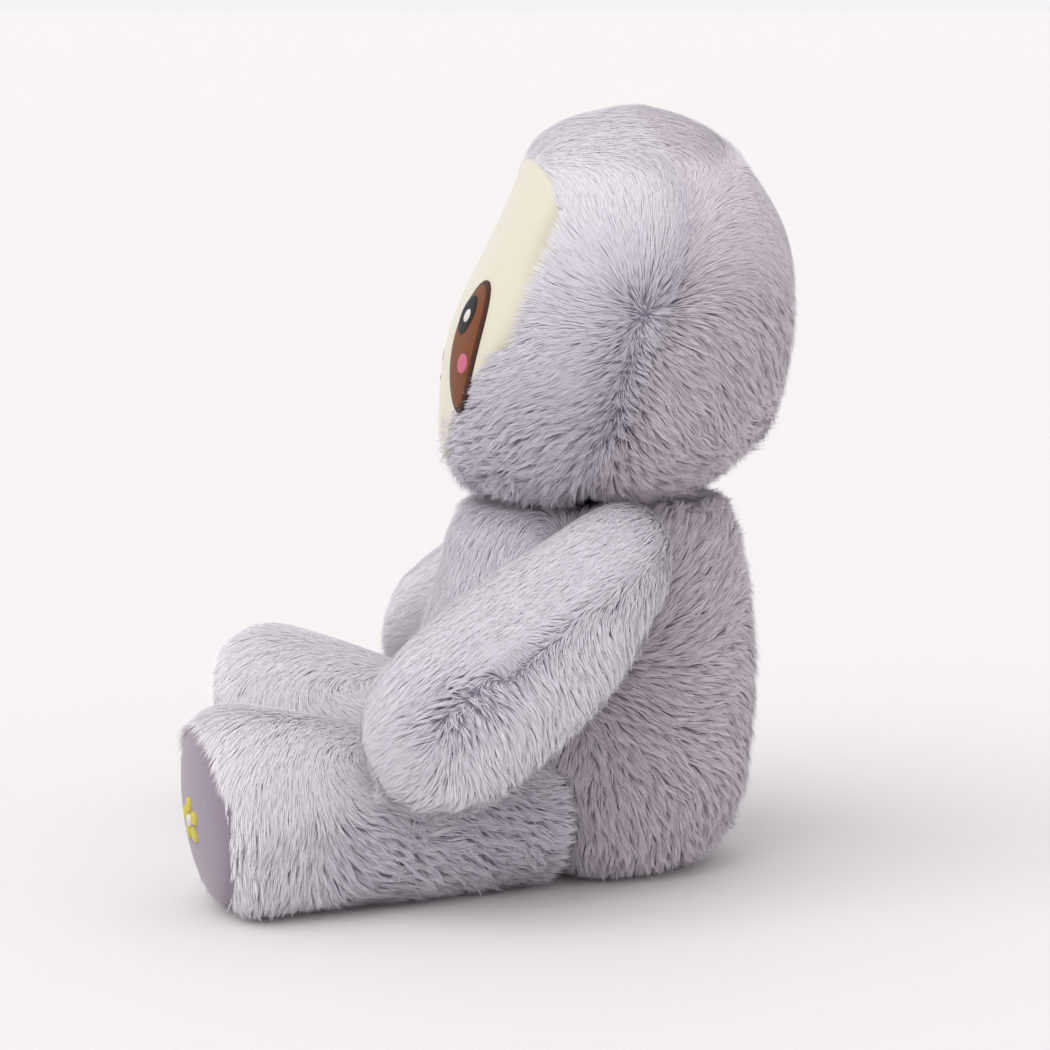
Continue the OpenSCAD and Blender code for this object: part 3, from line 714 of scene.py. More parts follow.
# %% The tree that plants the pile
def pile_tree():
    """Cloth in, pile out. The cloth carries its comb, its ruffle, its cover, and its tone with painted light
    and shade.
    """
    tree = bpy.data.node_groups.new("pile", "GeometryNodeTree")
    sockets(tree, "INPUT", "Geometry", "Cloth")
    for name, value in (("Density", 3.25e6), ("Length", 0.0088), ("Width", 0.00027), ("Lift", 0.32),
            ("Lock", 500.0), ("Gather", 0.65), ("Wander", 0.45)):
        sockets(tree, "INPUT", "Float", name)[0].default_value = value
    sockets(tree, "INPUT", "Int", "Seed")
    sockets(tree, "INPUT", "Material", "Finish")
    sockets(tree, "OUTPUT", "Geometry", "Pile")
    given = put(tree, "NodeGroupInput").outputs

    def maths(operation, *values):
        return arithmetic(tree, operation, *values)

    def vectors(operation, a, b=(0, 0, 0), out=0):
        return put(tree, "ShaderNodeVectorMath", {0: a, 1: b}, operation=operation).outputs[out]

    def scaled(v, s):
        return put(tree, "ShaderNodeVectorMath", {0: v, "Scale": s}, operation="SCALE").outputs[0]

    def field(name, kind):
        node = put(tree, "GeometryNodeInputNamedAttribute", {"Name": name}, data_type=kind)
        return node.outputs["Attribute"]

    def chance(low, high, step):
        """A random number for each fibre, with a seed of its own for each use."""
        seed = maths("ADD", given["Seed"], step)
        node = put(tree, "FunctionNodeRandomValue", {2: low, 3: high, "Seed": seed}, data_type="FLOAT")
        return node.outputs[1]

    def stored(geometry, name, value, kind, domain):
        return put(tree, "GeometryNodeStoreNamedAttribute", {"Geometry": geometry, "Name": name,
            "Value": value}, data_type=kind, domain=domain).outputs[0]

    def flattened(v):
        """A vector without its part along the cloth's own direction."""
        return vectors("SUBTRACT", v, scaled(up, vectors("DOT_PRODUCT", v, up, 1)))

    # Roots, each with the direction of the cloth caught on it.
    comb = field("comb", "FLOAT_VECTOR")
    ruffle, cover, shade = (field(name, "FLOAT") for name in ("ruffle", "cover", "shade"))
    scatter = put(tree, "GeometryNodeDistributePointsOnFaces", {"Mesh": given["Cloth"],
        "Density": maths("MULTIPLY", given["Density"], cover), "Seed": given["Seed"]},
        distribute_method="RANDOM")
    kept = put(tree, "GeometryNodeCaptureAttribute", {"Geometry": scatter.outputs["Points"]})
    kept.capture_items.new("VECTOR", "up")
    tree.links.new(scatter.outputs["Normal"], kept.inputs["up"])
    up = kept.outputs["up"]
    here = put(tree, "GeometryNodeInputPosition").outputs[0]

    # The way each fibre lies: its comb, a slow drift, and in ruffled plush a turn for each lock.
    cells = put(tree, "ShaderNodeTexVoronoi", {"Vector": here, "Scale": given["Lock"]},
        voronoi_dimensions="3D", feature="F1")
    luck = put(tree, "ShaderNodeSeparateXYZ", {0: cells.outputs["Color"]}).outputs
    drift = put(tree, "ShaderNodeTexNoise", {"Vector": here, "Scale": 70.0, "Detail": 1.0})
    broad = put(tree, "ShaderNodeTexNoise", {"Vector": here, "Scale": 26.0, "Detail": 1.0})
    drift = vectors("ADD", drift.outputs["Color"], broad.outputs["Color"])
    drift = vectors("SUBTRACT", drift, (1.0, 1.0, 1.0))
    loose = maths("MULTIPLY", given["Wander"], maths("MULTIPLY_ADD", ruffle, 3.0, 0.6))
    very_ruffled = maths("MULTIPLY", maths("MULTIPLY", ruffle, ruffle), 0.9)
    astray = scaled(vectors("SUBTRACT", cells.outputs["Color"], (0.5, 0.5, 0.5)), very_ruffled)
    way = vectors("ADD", vectors("ADD", comb, astray), scaled(drift, loose))
    way = vectors("NORMALIZE", flattened(way))

    # How long it is, and how far it stands up. A comb of less than full length lets it stand.
    tall = maths("MULTIPLY", given["Length"], chance(0.72, 1.12, 1))
    tall = maths("MULTIPLY", tall, maths("MULTIPLY_ADD", maths("MULTIPLY", luck[1], ruffle), 0.4, 0.85))
    unkempt = maths("SUBTRACT", 1.0, maths("MINIMUM", vectors("LENGTH", comb, out=1), 1.0))
    tall = maths("MULTIPLY", tall, maths("MULTIPLY_ADD", unkempt, -0.45, 1.0))
    tilt = maths("SUBTRACT", luck[0], 0.5)
    raised = maths("MINIMUM", maths("MULTIPLY_ADD", ruffle, 1.2, 0.5), 1.0)
    lying = maths("MULTIPLY", given["Lift"], raised)
    tilt = maths("MULTIPLY_ADD", tilt, maths("MULTIPLY", ruffle, 0.45), lying)
    uneven = maths("MULTIPLY_ADD", ruffle, 0.9, 0.15)
    tilt = maths("MULTIPLY_ADD", chance(-0.14, 0.14, 2), uneven, tilt)
    tilt = maths("MULTIPLY_ADD", unkempt, 0.9, tilt)

    # Where its tip comes to lie, pulled towards the middle of its lock.
    tip = vectors("ADD", scaled(way, maths("MULTIPLY", tall, maths("COSINE", tilt))),
        scaled(up, maths("MULTIPLY", tall, maths("SINE", tilt))))
    gather = maths("MULTIPLY", given["Gather"], maths("MINIMUM", ruffle, 1.0))
    inward = flattened(vectors("SUBTRACT", cells.outputs["Position"], here))
    tip = vectors("ADD", tip, scaled(inward, gather))

    turn = put(tree, "FunctionNodeAxesToRotation", {"Primary Axis": tip, "Secondary Axis": up},
        primary_axis="Y", secondary_axis="Z").outputs[0]
    reach = vectors("LENGTH", tip, out=1)
    size = put(tree, "ShaderNodeCombineXYZ", {0: given["Width"], 1: reach, 2: reach}).outputs[0]
    source = put(tree, "GeometryNodeObjectInfo", {"Object": blade})
    planted = put(tree, "GeometryNodeInstanceOnPoints", {"Points": kept.outputs["Geometry"],
        "Instance": source.outputs["Geometry"], "Rotation": turn, "Scale": size})

    # What its map says: a tone from its lock, from itself and from the painted light and shade of its
    # panel. Sleek plush, which has no ruffle, hides the painted shade at the roots.
    by_lock = maths("MULTIPLY_ADD", ruffle, 0.62, 0.02)
    # Painted light and shade: the panel's field makes the pile lighter where light falls and darker where
    # shade falls.
    tone = maths("MULTIPLY_ADD", maths("SUBTRACT", luck[2], 0.5), by_lock, shade)
    by_fibre = maths("MULTIPLY_ADD", ruffle, 0.9, 0.08)
    tone = maths("MULTIPLY_ADD", chance(-0.26, 0.26, 3), by_fibre, tone)
    smoothed = maths("MAXIMUM", maths("MULTIPLY_ADD", ruffle, -2.2, 1.0), 0.0)
    toned = stored(planted.outputs[0], "tone", tone, "FLOAT", "INSTANCE")
    toned = stored(toned, "up", up, "FLOAT_VECTOR", "INSTANCE")
    toned = stored(toned, "sleek", smoothed, "FLOAT", "INSTANCE")
    real = put(tree, "GeometryNodeRealizeInstances", {0: toned}).outputs[0]
    along, sleek = field("along", "FLOAT"), field("sleek", "FLOAT")
    hidden = maths("MULTIPLY", sleek, 0.75)
    rising = maths("MULTIPLY_ADD", maths("SUBTRACT", 1.0, along), hidden, along)
    pair = put(tree, "ShaderNodeCombineXYZ", {0: field("tone", "FLOAT"), 1: rising}).outputs[0]
    mapped = stored(real, "OFBake", pair, "FLOAT2", "CORNER")
    grounded = put(tree, "GeometryNodeSetPosition", {"Geometry": mapped,
        "Position": vectors("MAXIMUM", here, (-9.0, -9.0, 0.0004))})

    # The light falls on it partly as on the cloth below, which keeps the pile soft.
    own = put(tree, "GeometryNodeInputNormal").outputs[0]
    softer = maths("MULTIPLY_ADD", sleek, 3.0, 0.7)
    blended = vectors("ADD", own, scaled(field("up", "FLOAT_VECTOR"), softer))
    shaded = put(tree, "GeometryNodeSetMeshNormal", {"Mesh": grounded.outputs[0],
        "Custom Normal": vectors("NORMALIZE", blended)}, mode="FREE", domain="POINT")
    finished = put(tree, "GeometryNodeSetMaterial", {"Geometry": shaded.outputs[0],
        "Material": given["Finish"]})
    put(tree, "NodeGroupOutput", {0: finished.outputs[0]})
    return tree


pile_nodes = pile_tree()


# %% Growing the pile of one panel
def grow(name, grid, comb, ruffle, cover, shade, finish, seed, **sizes):
    """The pile of one panel as a plain mesh. Fields have one value for each point."""
    mesh = mesh_of(name + "_bed", grid, quads(*grid.shape[:2]).tolist())
    attribute = mesh.attributes.new("comb", "FLOAT_VECTOR", "POINT")
    attribute.data.foreach_set("vector", comb.ravel().astype(np.float32))
    for key, values in (("ruffle", ruffle), ("cover", cover), ("shade", shade)):
        attribute = mesh.attributes.new(key, "FLOAT", "POINT")
        attribute.data.foreach_set("value", values.ravel().astype(np.float32))
    bed = add_object(mesh)
    modifier = bed.modifiers.new("pile", "NODES")
    modifier.node_group = pile_nodes
    ids = {s.name: s.identifier for s in pile_nodes.interface.items_tree if s.in_out == "INPUT"}
    modifier[ids["Seed"]] = seed
    modifier[ids["Finish"]] = finish
    for key, value in sizes.items():
        modifier[ids[key.capitalize()]] = value
    bed.update_tag()
    graph = bpy.context.evaluated_depsgraph_get()
    made = bpy.data.meshes.new_from_object(bed.evaluated_get(graph), depsgraph=graph)
    bpy.data.objects.remove(bed)
    for key in ("tone", "along", "sleek", "up"):
        if key in made.attributes:
            made.attributes.remove(made.attributes[key])
    return made


total_fibres = 0
SLEEK_UP = 1.2


def sew(name, grid, comb, ruffle, cover, shade, body, slot, nodes, seed, **sizes):
    """One plush panel: its cloth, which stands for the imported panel, and its pile."""
    global total_fibres
    cloth, pile = (mauve_cloth, mauve_pile) if slot == "plush_mauve" else (light_cloth, light_pile)
    normals = grid_normals(grid, closed=False)
    # Sleek pile lies flat, so its cloth comes up by that much to keep the outline.
    grid = grid + normals * (SLEEK_UP * np.clip(1 - 2.2 * ruffle, 0, 1))[..., None]
    dress(name, panel_mesh(name, grid, normals), body, cloth, slot, *nodes)
    made = grow(name, grid, comb, ruffle, cover, shade, pile, seed, **sizes)
    total_fibres += len(made.polygons) // 3
    dress(name + "_pile", made, body, pile, slot)


# %% [markdown]
# ## Head
#
# The head's pile grows out from a whorl on each side and from a parting that runs down from it,
# beside the seam that joins cheek and back. It sweeps forwards over the edge of the smooth face,
# down the jaw and back round the head. The crown is brushed smooth, and the jaw is the most
# ruffled part.


# %% Comb of the head
def put_back(vector, sign):
    """A direction worked out on the left side, back on its own side."""
    return vector * np.concatenate([sign, np.ones_like(sign), np.ones_like(sign)], -1)


def side_of(points):
    """Points as if they were on the left side, and the sign that puts them back."""
    sign = np.where(points[..., :1] < 0, -1.0, 1.0)
    return put_back(points, sign), sign


def bump(distance, spread):
    """1 at no distance, falling away over the spread."""
    return np.exp(-((distance / spread) ** 2))


HEAD_WHORL = np.array([68, AXIS_Y - 1, 221])
head = forms["head"]
head_side, head_sign = side_of(head)
ray = head_side - HEAD_WHORL
y, z = head_side[..., 1] - AXIS_Y, head_side[..., 2]
crown = smooth(255, 285, z)
rear = smooth(10, 45, y)
jaw = smooth(195, 165, z)
parting = np.array([0, -15, -58.0])
ray = ray - np.clip((ray @ parting) / (parting @ parting), 0, 1)[..., None] * parting
head_comb = unit(ray * [0.6, 1, 1]) + smooth(225, 205, z)[..., None] * np.array([0, 0, -0.55])
ahead_of = (crown * (1 - smooth(28, 42, y)))[..., None]
head_comb = head_comb * (1 - ahead_of) + ahead_of * np.array([0.12, -1.0, 0.0])
head_comb = head_comb + (rear * (0.9 + 0.6 * crown))[..., None] * np.array([0, 0.3, -0.8]) * (1 - ahead_of)
# A comb of less than full length lets the pile stand up: at the whorl, and where it parts.
stands = 0.8 * bump(np.linalg.norm(ray[..., 1:], axis=-1), 6) * (z < 250)
stands = np.maximum(stands, 0.3 * crown * bump(y - 35, 9))
head_comb[..., 0] *= smooth(0, 30, head_side[..., 0])
head_comb = put_back(unit(head_comb), head_sign) * (1 - 0.85 * stands)[..., None]
head_ruffle = 0.62 - 0.3 * smooth(0, -25, y) * (1 - jaw) + 0.5 * jaw
head_ruffle = head_ruffle * (1 - smooth(218, 250, z))
# Painted light and shade: lighter on the crown, darker low on the front around the jaw, and darker along the
# valley of the cheek seam.
head_painted_shading = 0.28 + 0.34 * smooth(215, 275, z) - 0.30 * smooth(10, -30, y) * smooth(225, 180, z)
seam_y = head_side[:, column_at("head", CHEEK_SEAM, -180), 1][:, None] - AXIS_Y
head_painted_shading = head_painted_shading - 0.22 * bump(y - seam_y, 4.5) * smooth(285, 260, z)

# %% Outline of the smooth face
# The smooth face shows between the tips of the pile around it. The pile's roots stop a little
# outside that outline, so that their tips lie over the edge of the smooth cloth.
root_line = curve((157, 3), (163, 12), (170, 20), (177, 26), (188, 37), (200, 48), (208, 53),
    (220, 55), (234, 51), (247, 47), (257, 45), (264, 41), (269, 34), (273, 24), (276, 12),
    (277.5, 2))
inside = (np.abs(head[..., 0]) < root_line(z)) & (z > 157) & (z < 277) & (y < 0)
head_cover = 1.0 - inside


# %% Panels of the head
def between(low, high, count, first=-180.0):
    """Columns of a form from one angle to another, with the last one included."""
    step = 360 / count
    return np.arange(round((low - first) / step), round((high - first) / step) + 1) % count


def head_panel(name, columns, rows, slot, nodes, seed, **sizes):
    """One plush panel of the head."""
    fields = (head, head_comb, head_ruffle, head_cover, head_painted_shading)
    sew(name, *(f[rows][:, columns] for f in fields), "head", slot, nodes, seed, **sizes)


cols = head.shape[1]
level = (head[:, 0, 2] - HEAD_LOW) / HEAD_H
HOOD_LOW, CHIN_TOP = 0.70, 0.42
all_rows = slice(0, len(level))
upper = slice(int(np.searchsorted(level, HOOD_LOW)), len(level))
lower = slice(0, int(np.searchsorted(level, CHIN_TOP)))
middle = between(-FACE_EDGE, FACE_EDGE, cols)
head_panel("hood", middle, upper, "plush_light", ["hood_panel"], 11, length=0.0095, lift=0.4)
head_panel("chin", middle, lower, "plush_light", ["chin_panel"], 12)
for side, cheek, back in (
    ("left", between(FACE_EDGE, CHEEK_SEAM, cols), between(CHEEK_SEAM, 180, cols)),
    ("right", between(-CHEEK_SEAM, -FACE_EDGE, cols), between(-180, -CHEEK_SEAM, cols)),
):
    head_panel("cheek_" + side, cheek, all_rows, "plush_light", ["cheek_panel_" + side], 13)
    head_panel("head_back_cover_" + side, back, all_rows, "plush_mauve", ["head_back_" + side], 14)
print("fibres so far:", total_fibres)


# %% [markdown]
# ## Face
#
# The face is one piece of short-nap cloth, drawn tight over the filling. It follows the head's
# form, and its edge dives under the pile around it.


# %% Face cloth
def face_at(x, z, lift):
    """A point over the face at a distance from its middle line, a height, and a lift off it."""
    def raw(x, z):
        k = (z - HEAD_LOW) / HEAD_H
        a, b, mid = head_axes(k, 0)
        return np.stack([x, mid - b * np.sqrt(np.maximum(1 - (x / a) ** 2, 0.02)), z], -1)

    e = 0.5
    normal = unit(np.cross(raw(x + e, z) - raw(x - e, z), raw(x, z + e) - raw(x, z - e)))
    return raw(x, z) + normal * np.asarray(lift)[..., None]


t = np.linspace(0, 1, 72)[:, None]
s = np.linspace(-1, 1, 61)[None]
face_z = 154 + 128 * t + 0 * s
face_x = s * (root_line(face_z) + 7)
edge = np.maximum(smooth(0.84, 1.0, np.abs(s) + 0 * t), smooth(0.06, 0.0, t + 0 * s))
edge = np.maximum(edge, smooth(0.93, 1.0, t + 0 * s))
face_grid = face_at(face_x, face_z, -0.4 - 4.6 * edge)
face_mesh = panel_mesh("face", face_grid, grid_normals(face_grid, closed=False))
dress("face", face_mesh, "head", face_nap, "face_cloth", "face_panel")


# %% [markdown]
# ## Embroidery
#
# Eyes, patches, nose and flower are satin stitch, a low crowned pad of thread. Each is a fan of
# rings laid over the face, thickest in the middle. Its own map runs along the thread.


# %% A stitched pad
def stitched(name, outline, place, lift, crown, body, finish, slot, *nodes, rings=10):
    """A crowned pad of thread inside an outline of (across, up), laid on by place()."""
    shares = np.sqrt(np.linspace(0, 1, rings))[:, None]
    across = outline[:, 0] * shares
    up = outline[:, 1] * shares
    height = lift + crown * np.sqrt(np.maximum(1 - shares**4, 0)) + 0 * across
    top = place(across, up, height)
    foot = place(outline[None, :, 0], outline[None, :, 1], np.full((1, len(outline)), lift - 1.2))
    grid = np.concatenate([top, foot])
    count = len(outline)
    faces = []
    for r in range(1, len(grid) - 1):
        for j in range(count):
            n = (j + 1) % count
            faces.append((r * count + j, (r + 1) * count + j, (r + 1) * count + n, r * count + n))
    for j in range(count):
        faces.append((0, count + j, count + (j + 1) % count))
    mesh = mesh_of(name, grid, faces)
    span = np.abs(outline).max()
    flat = np.concatenate([np.stack([across, up], -1), outline[None]]).reshape(-1, 2) / span / 2 + 0.5
    layer = mesh.uv_layers.new(name="OFBake")
    index = np.empty(len(mesh.loops), int)
    mesh.loops.foreach_get("vertex_index", index)
    layer.data.foreach_set("uv", flat[index].ravel())
    dress(name, mesh, body, finish, slot, *nodes)


def round_outline(w, h, count=40, point=0.0, lean=0.0):
    """An oval, or a teardrop whose point is down, leaned to one side."""
    a = np.linspace(0, 2 * np.pi, count, endpoint=False)
    x = w / 2 * np.cos(a) * (1 + point * np.sin(a))
    y = h / 2 * np.sin(a)
    turn = np.array([[math.cos(lean), -math.sin(lean)], [math.sin(lean), math.cos(lean)]])
    return np.stack([x, y], -1) @ turn.T


FACE_MID = HEAD_LOW + HEAD_H / 2
PATCH_AT, PATCH_LEAN = (33.4, -17.4), math.radians(3)
for side, sign in (("left", 1), ("right", -1)):
    def on_face(mx, mz, sign=sign):
        def place(across, up, height):
            return face_at(mx + across, FACE_MID + mz + up, height) * [sign, 1, 1]
        return place

    def turned(outline, sign=sign):
        return outline if sign > 0 else outline[::-1]

    patch = round_outline(19.5, 48.5, 56, 0.20, PATCH_LEAN)
    rim = round_outline(21, 50.1, 56, 0.20, PATCH_LEAN)
    stitched("eye_patch_rim_" + side, turned(rim), on_face(*PATCH_AT), 0.0, 0.7,
        "head", dark_thread, "brown_thread")
    stitched("eye_patch_cover_" + side, turned(patch * [0.93, 0.97]), on_face(*PATCH_AT), 0.2, 1.0,
        "head", brown_thread, "brown_thread", "eye_patch_" + side)
    stitched("eye_cover_" + side, turned(round_outline(11.6, 15)), on_face(31.2, -6.0), 1.0, 0.7,
        "head", black_thread, "black_thread", "eye_" + side)
    stitched("eye_glint_cover_" + side, turned(round_outline(4.2, 4.8)), on_face(32.8, -6.2),
        1.7, 0.4, "head", white_thread, "white_thread", "eye_glint_" + side)
    stitched("blush_cover_" + side, turned(round_outline(6.6, 7.6)), on_face(37.4, -23.5), 1.1, 0.5,
        "head", pink_thread, "pink_thread", "blush_" + side)


def on_middle(mz):
    """Lays a patch on the middle line of the face."""
    return lambda across, up, height: face_at(across, FACE_MID + mz + up, height)


stitched("nose_cover", round_outline(8, 6), on_middle(-24), -0.6, 0.35,
    "head", brown_thread, "brown_thread", "nose_embroidery")
bow = np.linspace(-1, 1, 15)
mouth_low = np.stack([bow * 8, 2 * bow**2 - 0.5], -1)
mouth_top = mouth_low[::-1] + [0, 1]
stitched("mouth_cover", np.concatenate([mouth_low, mouth_top]), on_middle(-33), -0.6, 0.3,
    "head", brown_thread, "brown_thread", "mouth_embroidery")


# %% [markdown]
# ## Trunk
#
# The belly and the two back panels meet at the side seams and down the middle of the back. The
# pile fans out from a whorl under each arm, and lies straight down on the belly and along the
# back seam. The seat has little pile, because the toy's weight presses it flat.

# %% Comb of the trunk and its panels
trunk = forms["trunk"]
trunk_side, trunk_sign = side_of(trunk)
TRUNK_WHORL = np.array([55, AXIS_Y - 22, 84])
ray = trunk_side - TRUNK_WHORL
y, z = trunk_side[..., 1] - AXIS_Y, trunk_side[..., 2]
front = smooth(-20, -50, y)
trunk_comb = unit(ray * [0.3, 1, 1]) * (1 - front[..., None])
trunk_comb = trunk_comb + front[..., None] * np.array([0.1, -0.2, -1])
trunk_comb = trunk_comb + smooth(30, 45, y)[..., None] * np.array([0, 0, -1.2])
stands = bump(np.linalg.norm(ray[..., 1:], axis=-1), 12) * (1 - front)
trunk_comb[..., 0] *= smooth(0, 30, trunk_side[..., 0])
trunk_comb = put_back(unit(trunk_comb), trunk_sign) * (1 - 0.8 * stands)[..., None]
trunk_ruffle = (0.85 - 0.2 * smooth(70, 130, z)) * (1 - 0.9 * front)
# Painted light and shade: lighter on the back and on the belly, darker on the sides between them.
trunk_painted_shading = 0.20 + 0.20 * smooth(0, 60, y) + 0.16 * front
trunk_cover = 1.0 - 0.85 * smooth(4, 1.6, z)


def trunk_panel(name, low, high, slot, nodes, seed, **sizes):
    """One plush panel of the trunk, with its share of the seat."""
    columns = between(low, high, trunk.shape[1])
    fields = (trunk, trunk_comb, trunk_ruffle, trunk_cover, trunk_painted_shading)
    sew(name, *(f[:, columns] for f in fields), "trunk", slot, nodes, seed, **sizes)


trunk_panel("belly_cover", -SIDE_SEAM, SIDE_SEAM, "plush_light", ["belly_panel", "seat_panel"], 21,
    density=2.3e6)
trunk_panel("back_cover_left", SIDE_SEAM, 180, "plush_mauve", ["back_panel_left"], 22)
trunk_panel("back_cover_right", -180, -SIDE_SEAM, "plush_mauve", ["back_panel_right"], 23)
print("fibres so far:", total_fibres)

# %% [markdown]
# ## Arms and legs
#
# On the upper part of each arm the pile is brushed smooth and lies along the arm. Near the paw it
# fans out from a short parting. On the top of each leg it is smooth too. On the leg's side it
# sweeps back and down, and at the foot it hangs.


# %% Comb of the arm
arm = forms["arm"]
start = shoulder + arm_along * 66 + arm_across * 16
end = shoulder + arm_along * 104 + arm_across * 12
parting = end - start
share = np.clip(((arm - start) @ parting) / (parting @ parting), 0, 1)
arm_down = ((arm - shoulder) @ arm_across) / (ARM_W / 2)
paw = smooth(0.45, 0.6, ((arm - shoulder) @ arm_along) / ARM_LEN)
ray = arm - (start + share[..., None] * parting)
ray = ray - (ray @ arm_out)[..., None] * arm_out
off_parting = np.linalg.norm(ray, axis=-1)
ray = unit(ray)
lower = smooth(0.2, 0.5, arm_down)[..., None]
tip_end = smooth(0.0, 25, (arm - end) @ arm_along)[..., None]
fan = np.maximum(lower, tip_end)
behind = np.minimum(ray @ arm_along, 0)[..., None]
ray = unit(ray - 1.1 * behind * arm_along)
arm_comb = unit(ray * fan + arm_along * (1.15 - 0.95 * lower * (1 - tip_end)))
arm_comb = arm_comb * (1 - 0.5 * bump(off_parting, 5) * paw)[..., None]
arm_ruffle = 0.5 * smooth(0.25, 0.6, arm_down)
arm_ruffle = np.maximum(arm_ruffle, 0.75 * bump(off_parting, 17) * paw)
# Painted light and shade: lighter on the upper side and darker along the parting near the paw. The lower
# edge is lighter as well, for the pale welt.
arm_tone_and_painted_shading = 0.45 + 0.10 * smooth(0.1, -0.4, arm_down) + 0.2 * smooth(0.4, 0.9, arm_down)
arm_tone_and_painted_shading = arm_tone_and_painted_shading - 0.22 * bump(off_parting, 11) * paw
arm_cover = np.ones_like(arm_tone_and_painted_shading)

# %% Comb of the leg
leg = forms["leg"]
leg_far = (leg - hip) @ leg_along
leg_side = (leg - hip) @ leg_across
z = leg[..., 2]
heel = smooth(70, 100, leg_far)
top = smooth(52, 66, z)
rearward = (1 - heel) * 0.9 * (1 - top) - 0.8 * top
down = 0.45 + heel * 1.1 - 0.4 * top
leg_comb = -rearward[..., None] * leg_along - down[..., None] * UP
leg_comb = leg_comb + (top * 0.5 * np.clip(leg_side / 15, -1, 1))[..., None] * leg_across
leg_comb = leg_comb + (smooth(104, 120, leg_far) * smooth(20, 60, z))[..., None] * leg_along * 0.35
leg_comb = unit(leg_comb)
leg_ruffle = (0.9 - 0.25 * heel) * (1 - smooth(38, 56, z))
# Painted light and shade: lighter over the top and low at the front of the foot, darker low on the side
# towards the hip.
leg_painted_shading = 0.04 + 0.78 * smooth(30, 60, z) + 0.62 * smooth(76, 104, leg_far) * smooth(80, 45, z)
leg_cover = 1.0 - 0.8 * smooth(4, 1.6, z)

# %% Panels of the arms and legs
LIMB_FIELDS = {
    "arm": (arm, arm_comb, arm_ruffle, arm_cover, arm_tone_and_painted_shading),
    "leg": (leg, leg_comb, leg_ruffle, leg_cover, leg_painted_shading),
}
LIMB_PANELS = (
    ("arm_outer", "arm", (0, 180), 31), ("arm_inner", "arm", (180, 360), 32),
    ("leg_top", "leg", (0, 180), 33), ("leg_under", "leg", (180, 360), 34),
)
PALER_INSIDE = 0.22
for side in ("left", "right"):
    for part, limb, (low, high), seed in LIMB_PANELS:
        columns = between(low, high, forms[limb].shape[1], 0.0)
        fields = [f[:, columns] for f in LIMB_FIELDS[limb]]
        if side == "right":
            fields = mirrored(*fields)
        if part == "arm_inner":
            fields[4] = fields[4] + PALER_INSIDE
        sew(f"{part}_cover_{side}", *fields, f"{limb}_{side}", "plush_light", [f"{part}_{side}"], seed)
print("fibres in all:", total_fibres)


# %% [markdown]
# ## Foot pads
#
# Each foot ends in a domed pad of short nap with a small stitched flower. The pad has the same
# squarish outline as the foot.


# %% Foot pads
PAD_IN, DOME = 4, 8.5


def pad_at(across, up, lift):
    """A point of the left foot pad, from its middle, with a lift off its dome."""
    w, h = leg_size(LEG_LEN) - PAD_IN
    share = np.minimum((across / w) ** 2 + (up / h) ** 2, 1)
    dome = DOME * np.sqrt(np.maximum(1 - share, 0)) - 1.5
    far = LEG_LEN + dome + lift + math.tan(PAD_LEAN) * up
    base = hip * [1, 1, 0] + far[..., None] * leg_along + across[..., None] * leg_across
    return base + (leg_size(LEG_LEN)[1] + up)[..., None] * UP


def pad_spot(sign, mx=0.0, mz=0.0):
    """Lays a patch on a foot pad, off its middle."""
    def place(across, up, height):
        return pad_at(mx + across, mz + up, height) * [sign, 1, 1]
    return place


FLOWER_R, FLOWER_UP = 5.8, -3
w, h = leg_size(LEG_LEN) - PAD_IN - 0.6
sole_turns = np.linspace(0, 2 * np.pi, 72, endpoint=False)
sole = np.stack(leg_section(LEG_LEN, w, h, sole_turns), -1)
for side, sign in (("left", 1), ("right", -1)):
    def facing(outline, sign=sign):
        return outline[::-1] if sign > 0 else outline

    body = "leg_" + side
    stitched("pad_" + side, facing(sole), pad_spot(sign), 0.0, 0.0,
        body, pad_nap, "pad_cloth", "foot_pad_" + side, rings=22)
    for k in range(5):
        a = math.radians(90 + 72 * k)
        petal = round_outline(6.2, 5.4, 24, 0.0, a)
        spot = pad_spot(sign, FLOWER_R * math.cos(a), FLOWER_R * math.sin(a) + FLOWER_UP)
        nodes = ["petals_" + side] if k == 0 else []
        stitched(f"petal_{k + 1}_{side}", facing(petal), spot, 0.2, 0.9,
            body, yellow_thread, "yellow_thread", *nodes, rings=6)
    stitched("flower_middle_" + side, facing(round_outline(5, 5, 24)), pad_spot(sign, 0, FLOWER_UP),
        0.5, 0.9, body, white_thread, "white_thread", "flower_centre_" + side, rings=6)

# %% [markdown]
# ## Filling
#
# Inside each cover is the filling that keeps it full. It never shows, but the toy is made of
# it, so each body gets a closed form just under its cloth.


# %% Filling
def filling(name, grid, body, finish, slot, nodes, lining=1.6):
    """A closed form a little inside a cover."""
    inner = grid - grid_normals(grid) * lining
    piece = dress(name, closed_mesh(name, inner), body, finish, slot, *nodes)


filling("head_filling", forms["head"], "head", fibre_filling, "fibre_fill", ["head_fill"])
BAG_H = 26
bag_top = int(np.searchsorted(trunk[:, 0, 2], BAG_H))
filling("trunk_filling", trunk[bag_top:], "trunk", fibre_filling, "fibre_fill", ["trunk_fill"])
filling("pellets", trunk[:bag_top], "trunk", bag_cloth, "bag_cloth", ["pellet_bag"], 2.4)
for side in ("left", "right"):
    for limb, node in (("arm", "arm_fill_"), ("leg", "leg_fill_")):
        grid = forms[limb] if side == "left" else mirrored(forms[limb])[0]
        # The filling ends a few rings short of each end of its cover.
        grid = grid[3:-3] if limb == "arm" else grid[1:-1]
        filling(f"{limb}_filling_{side}", grid, f"{limb}_{side}", fibre_filling, "fibre_fill",
            [node + side])

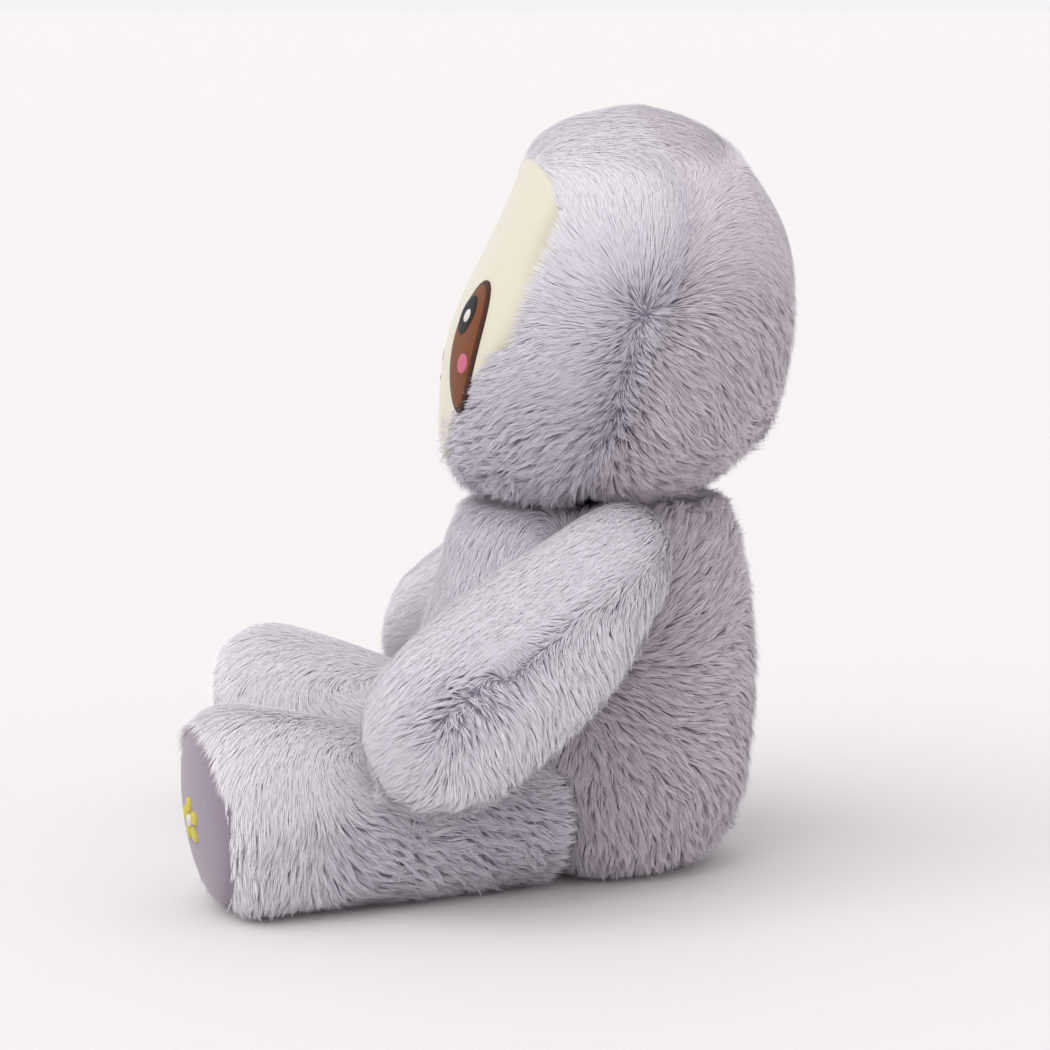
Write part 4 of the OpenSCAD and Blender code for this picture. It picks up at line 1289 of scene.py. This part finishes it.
# %% Closing stitches
# The last few stitches are made by hand once the filling is in. They cross the seam down the
# middle of the back, on the cloth and under the pile.
def thread_bars(name, paths, radius):
    """Short round threads, one along each path of a few points."""
    points, faces = [], []
    spokes = np.radians(np.arange(0, 360, 60))
    for path in paths:
        along = unit(np.gradient(path, axis=0))
        side = unit(np.cross(along, UP))
        lift = np.cross(side, along)
        start = len(points)
        thick = radius * np.sqrt(1 - (np.linspace(-0.97, 0.97, len(path)) ** 4))
        for at, a, b, r in zip(path, side, lift, thick):
            points += [at + r * (a * math.cos(w) + b * math.sin(w)) for w in spokes]
        for k in range(len(path) - 1):
            for j in range(6):
                low, n = start + k * 6, (j + 1) % 6
                faces.append([low + j, low + n, low + 6 + n, low + 6 + j])
        faces.append([start + j for j in range(5, -1, -1)])
        faces.append([start + 6 * (len(path) - 1) + j for j in range(6)])
    return mesh_of(name, np.array(points), faces)


stitch_low, stitch_high = (np.array(v)[2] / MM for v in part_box("closing_stitches"))
bars = []
for level_z in np.arange(stitch_low + 2, stitch_high, 4.0):
    row = int(np.argmin(np.abs(trunk[:, 0, 2] - level_z)))
    middle = trunk[row, 0]
    bars.append([middle + [x, 0.5 - 0.04 * x * x, 0.5 * x] for x in np.linspace(-3, 3, 7)])
dress("back_stitches", thread_bars("back_stitches", np.array(bars), 0.45), "trunk", seam_cloth, "seam_cloth",
    "closing_stitches")

# %% Seam allowances
for name, node in frame["nodes"].items():
    if not node.hide_render:
        node.data.materials.clear()
        node.data.materials.append(seam_cloth)
        print("kept from the packed model:", name)
bpy.data.objects.remove(blade)

# %% Floor
FLOOR_R = 120
floor_mesh = bpy.data.meshes.new("floor")
corners = [(x * FLOOR_R, y * FLOOR_R, 0) for x, y in ((-1, -1), (1, -1), (1, 1), (-1, 1))]
floor_mesh.from_pydata(corners, [], [(0, 1, 2, 3)])
floor = add_object(floor_mesh)
floor_finish, _, floor_shader = finish_of("studio_floor", 0.7)
floor_shader.inputs["Base Color"].default_value = (0.755, 0.737, 0.732, 1)
floor_mesh.materials.append(floor_finish)
floor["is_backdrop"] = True

# %% Sizes
low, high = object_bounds()
print("sizes in mm:", [[round(v / MM, 1) for v in pair] for pair in (low, high)])
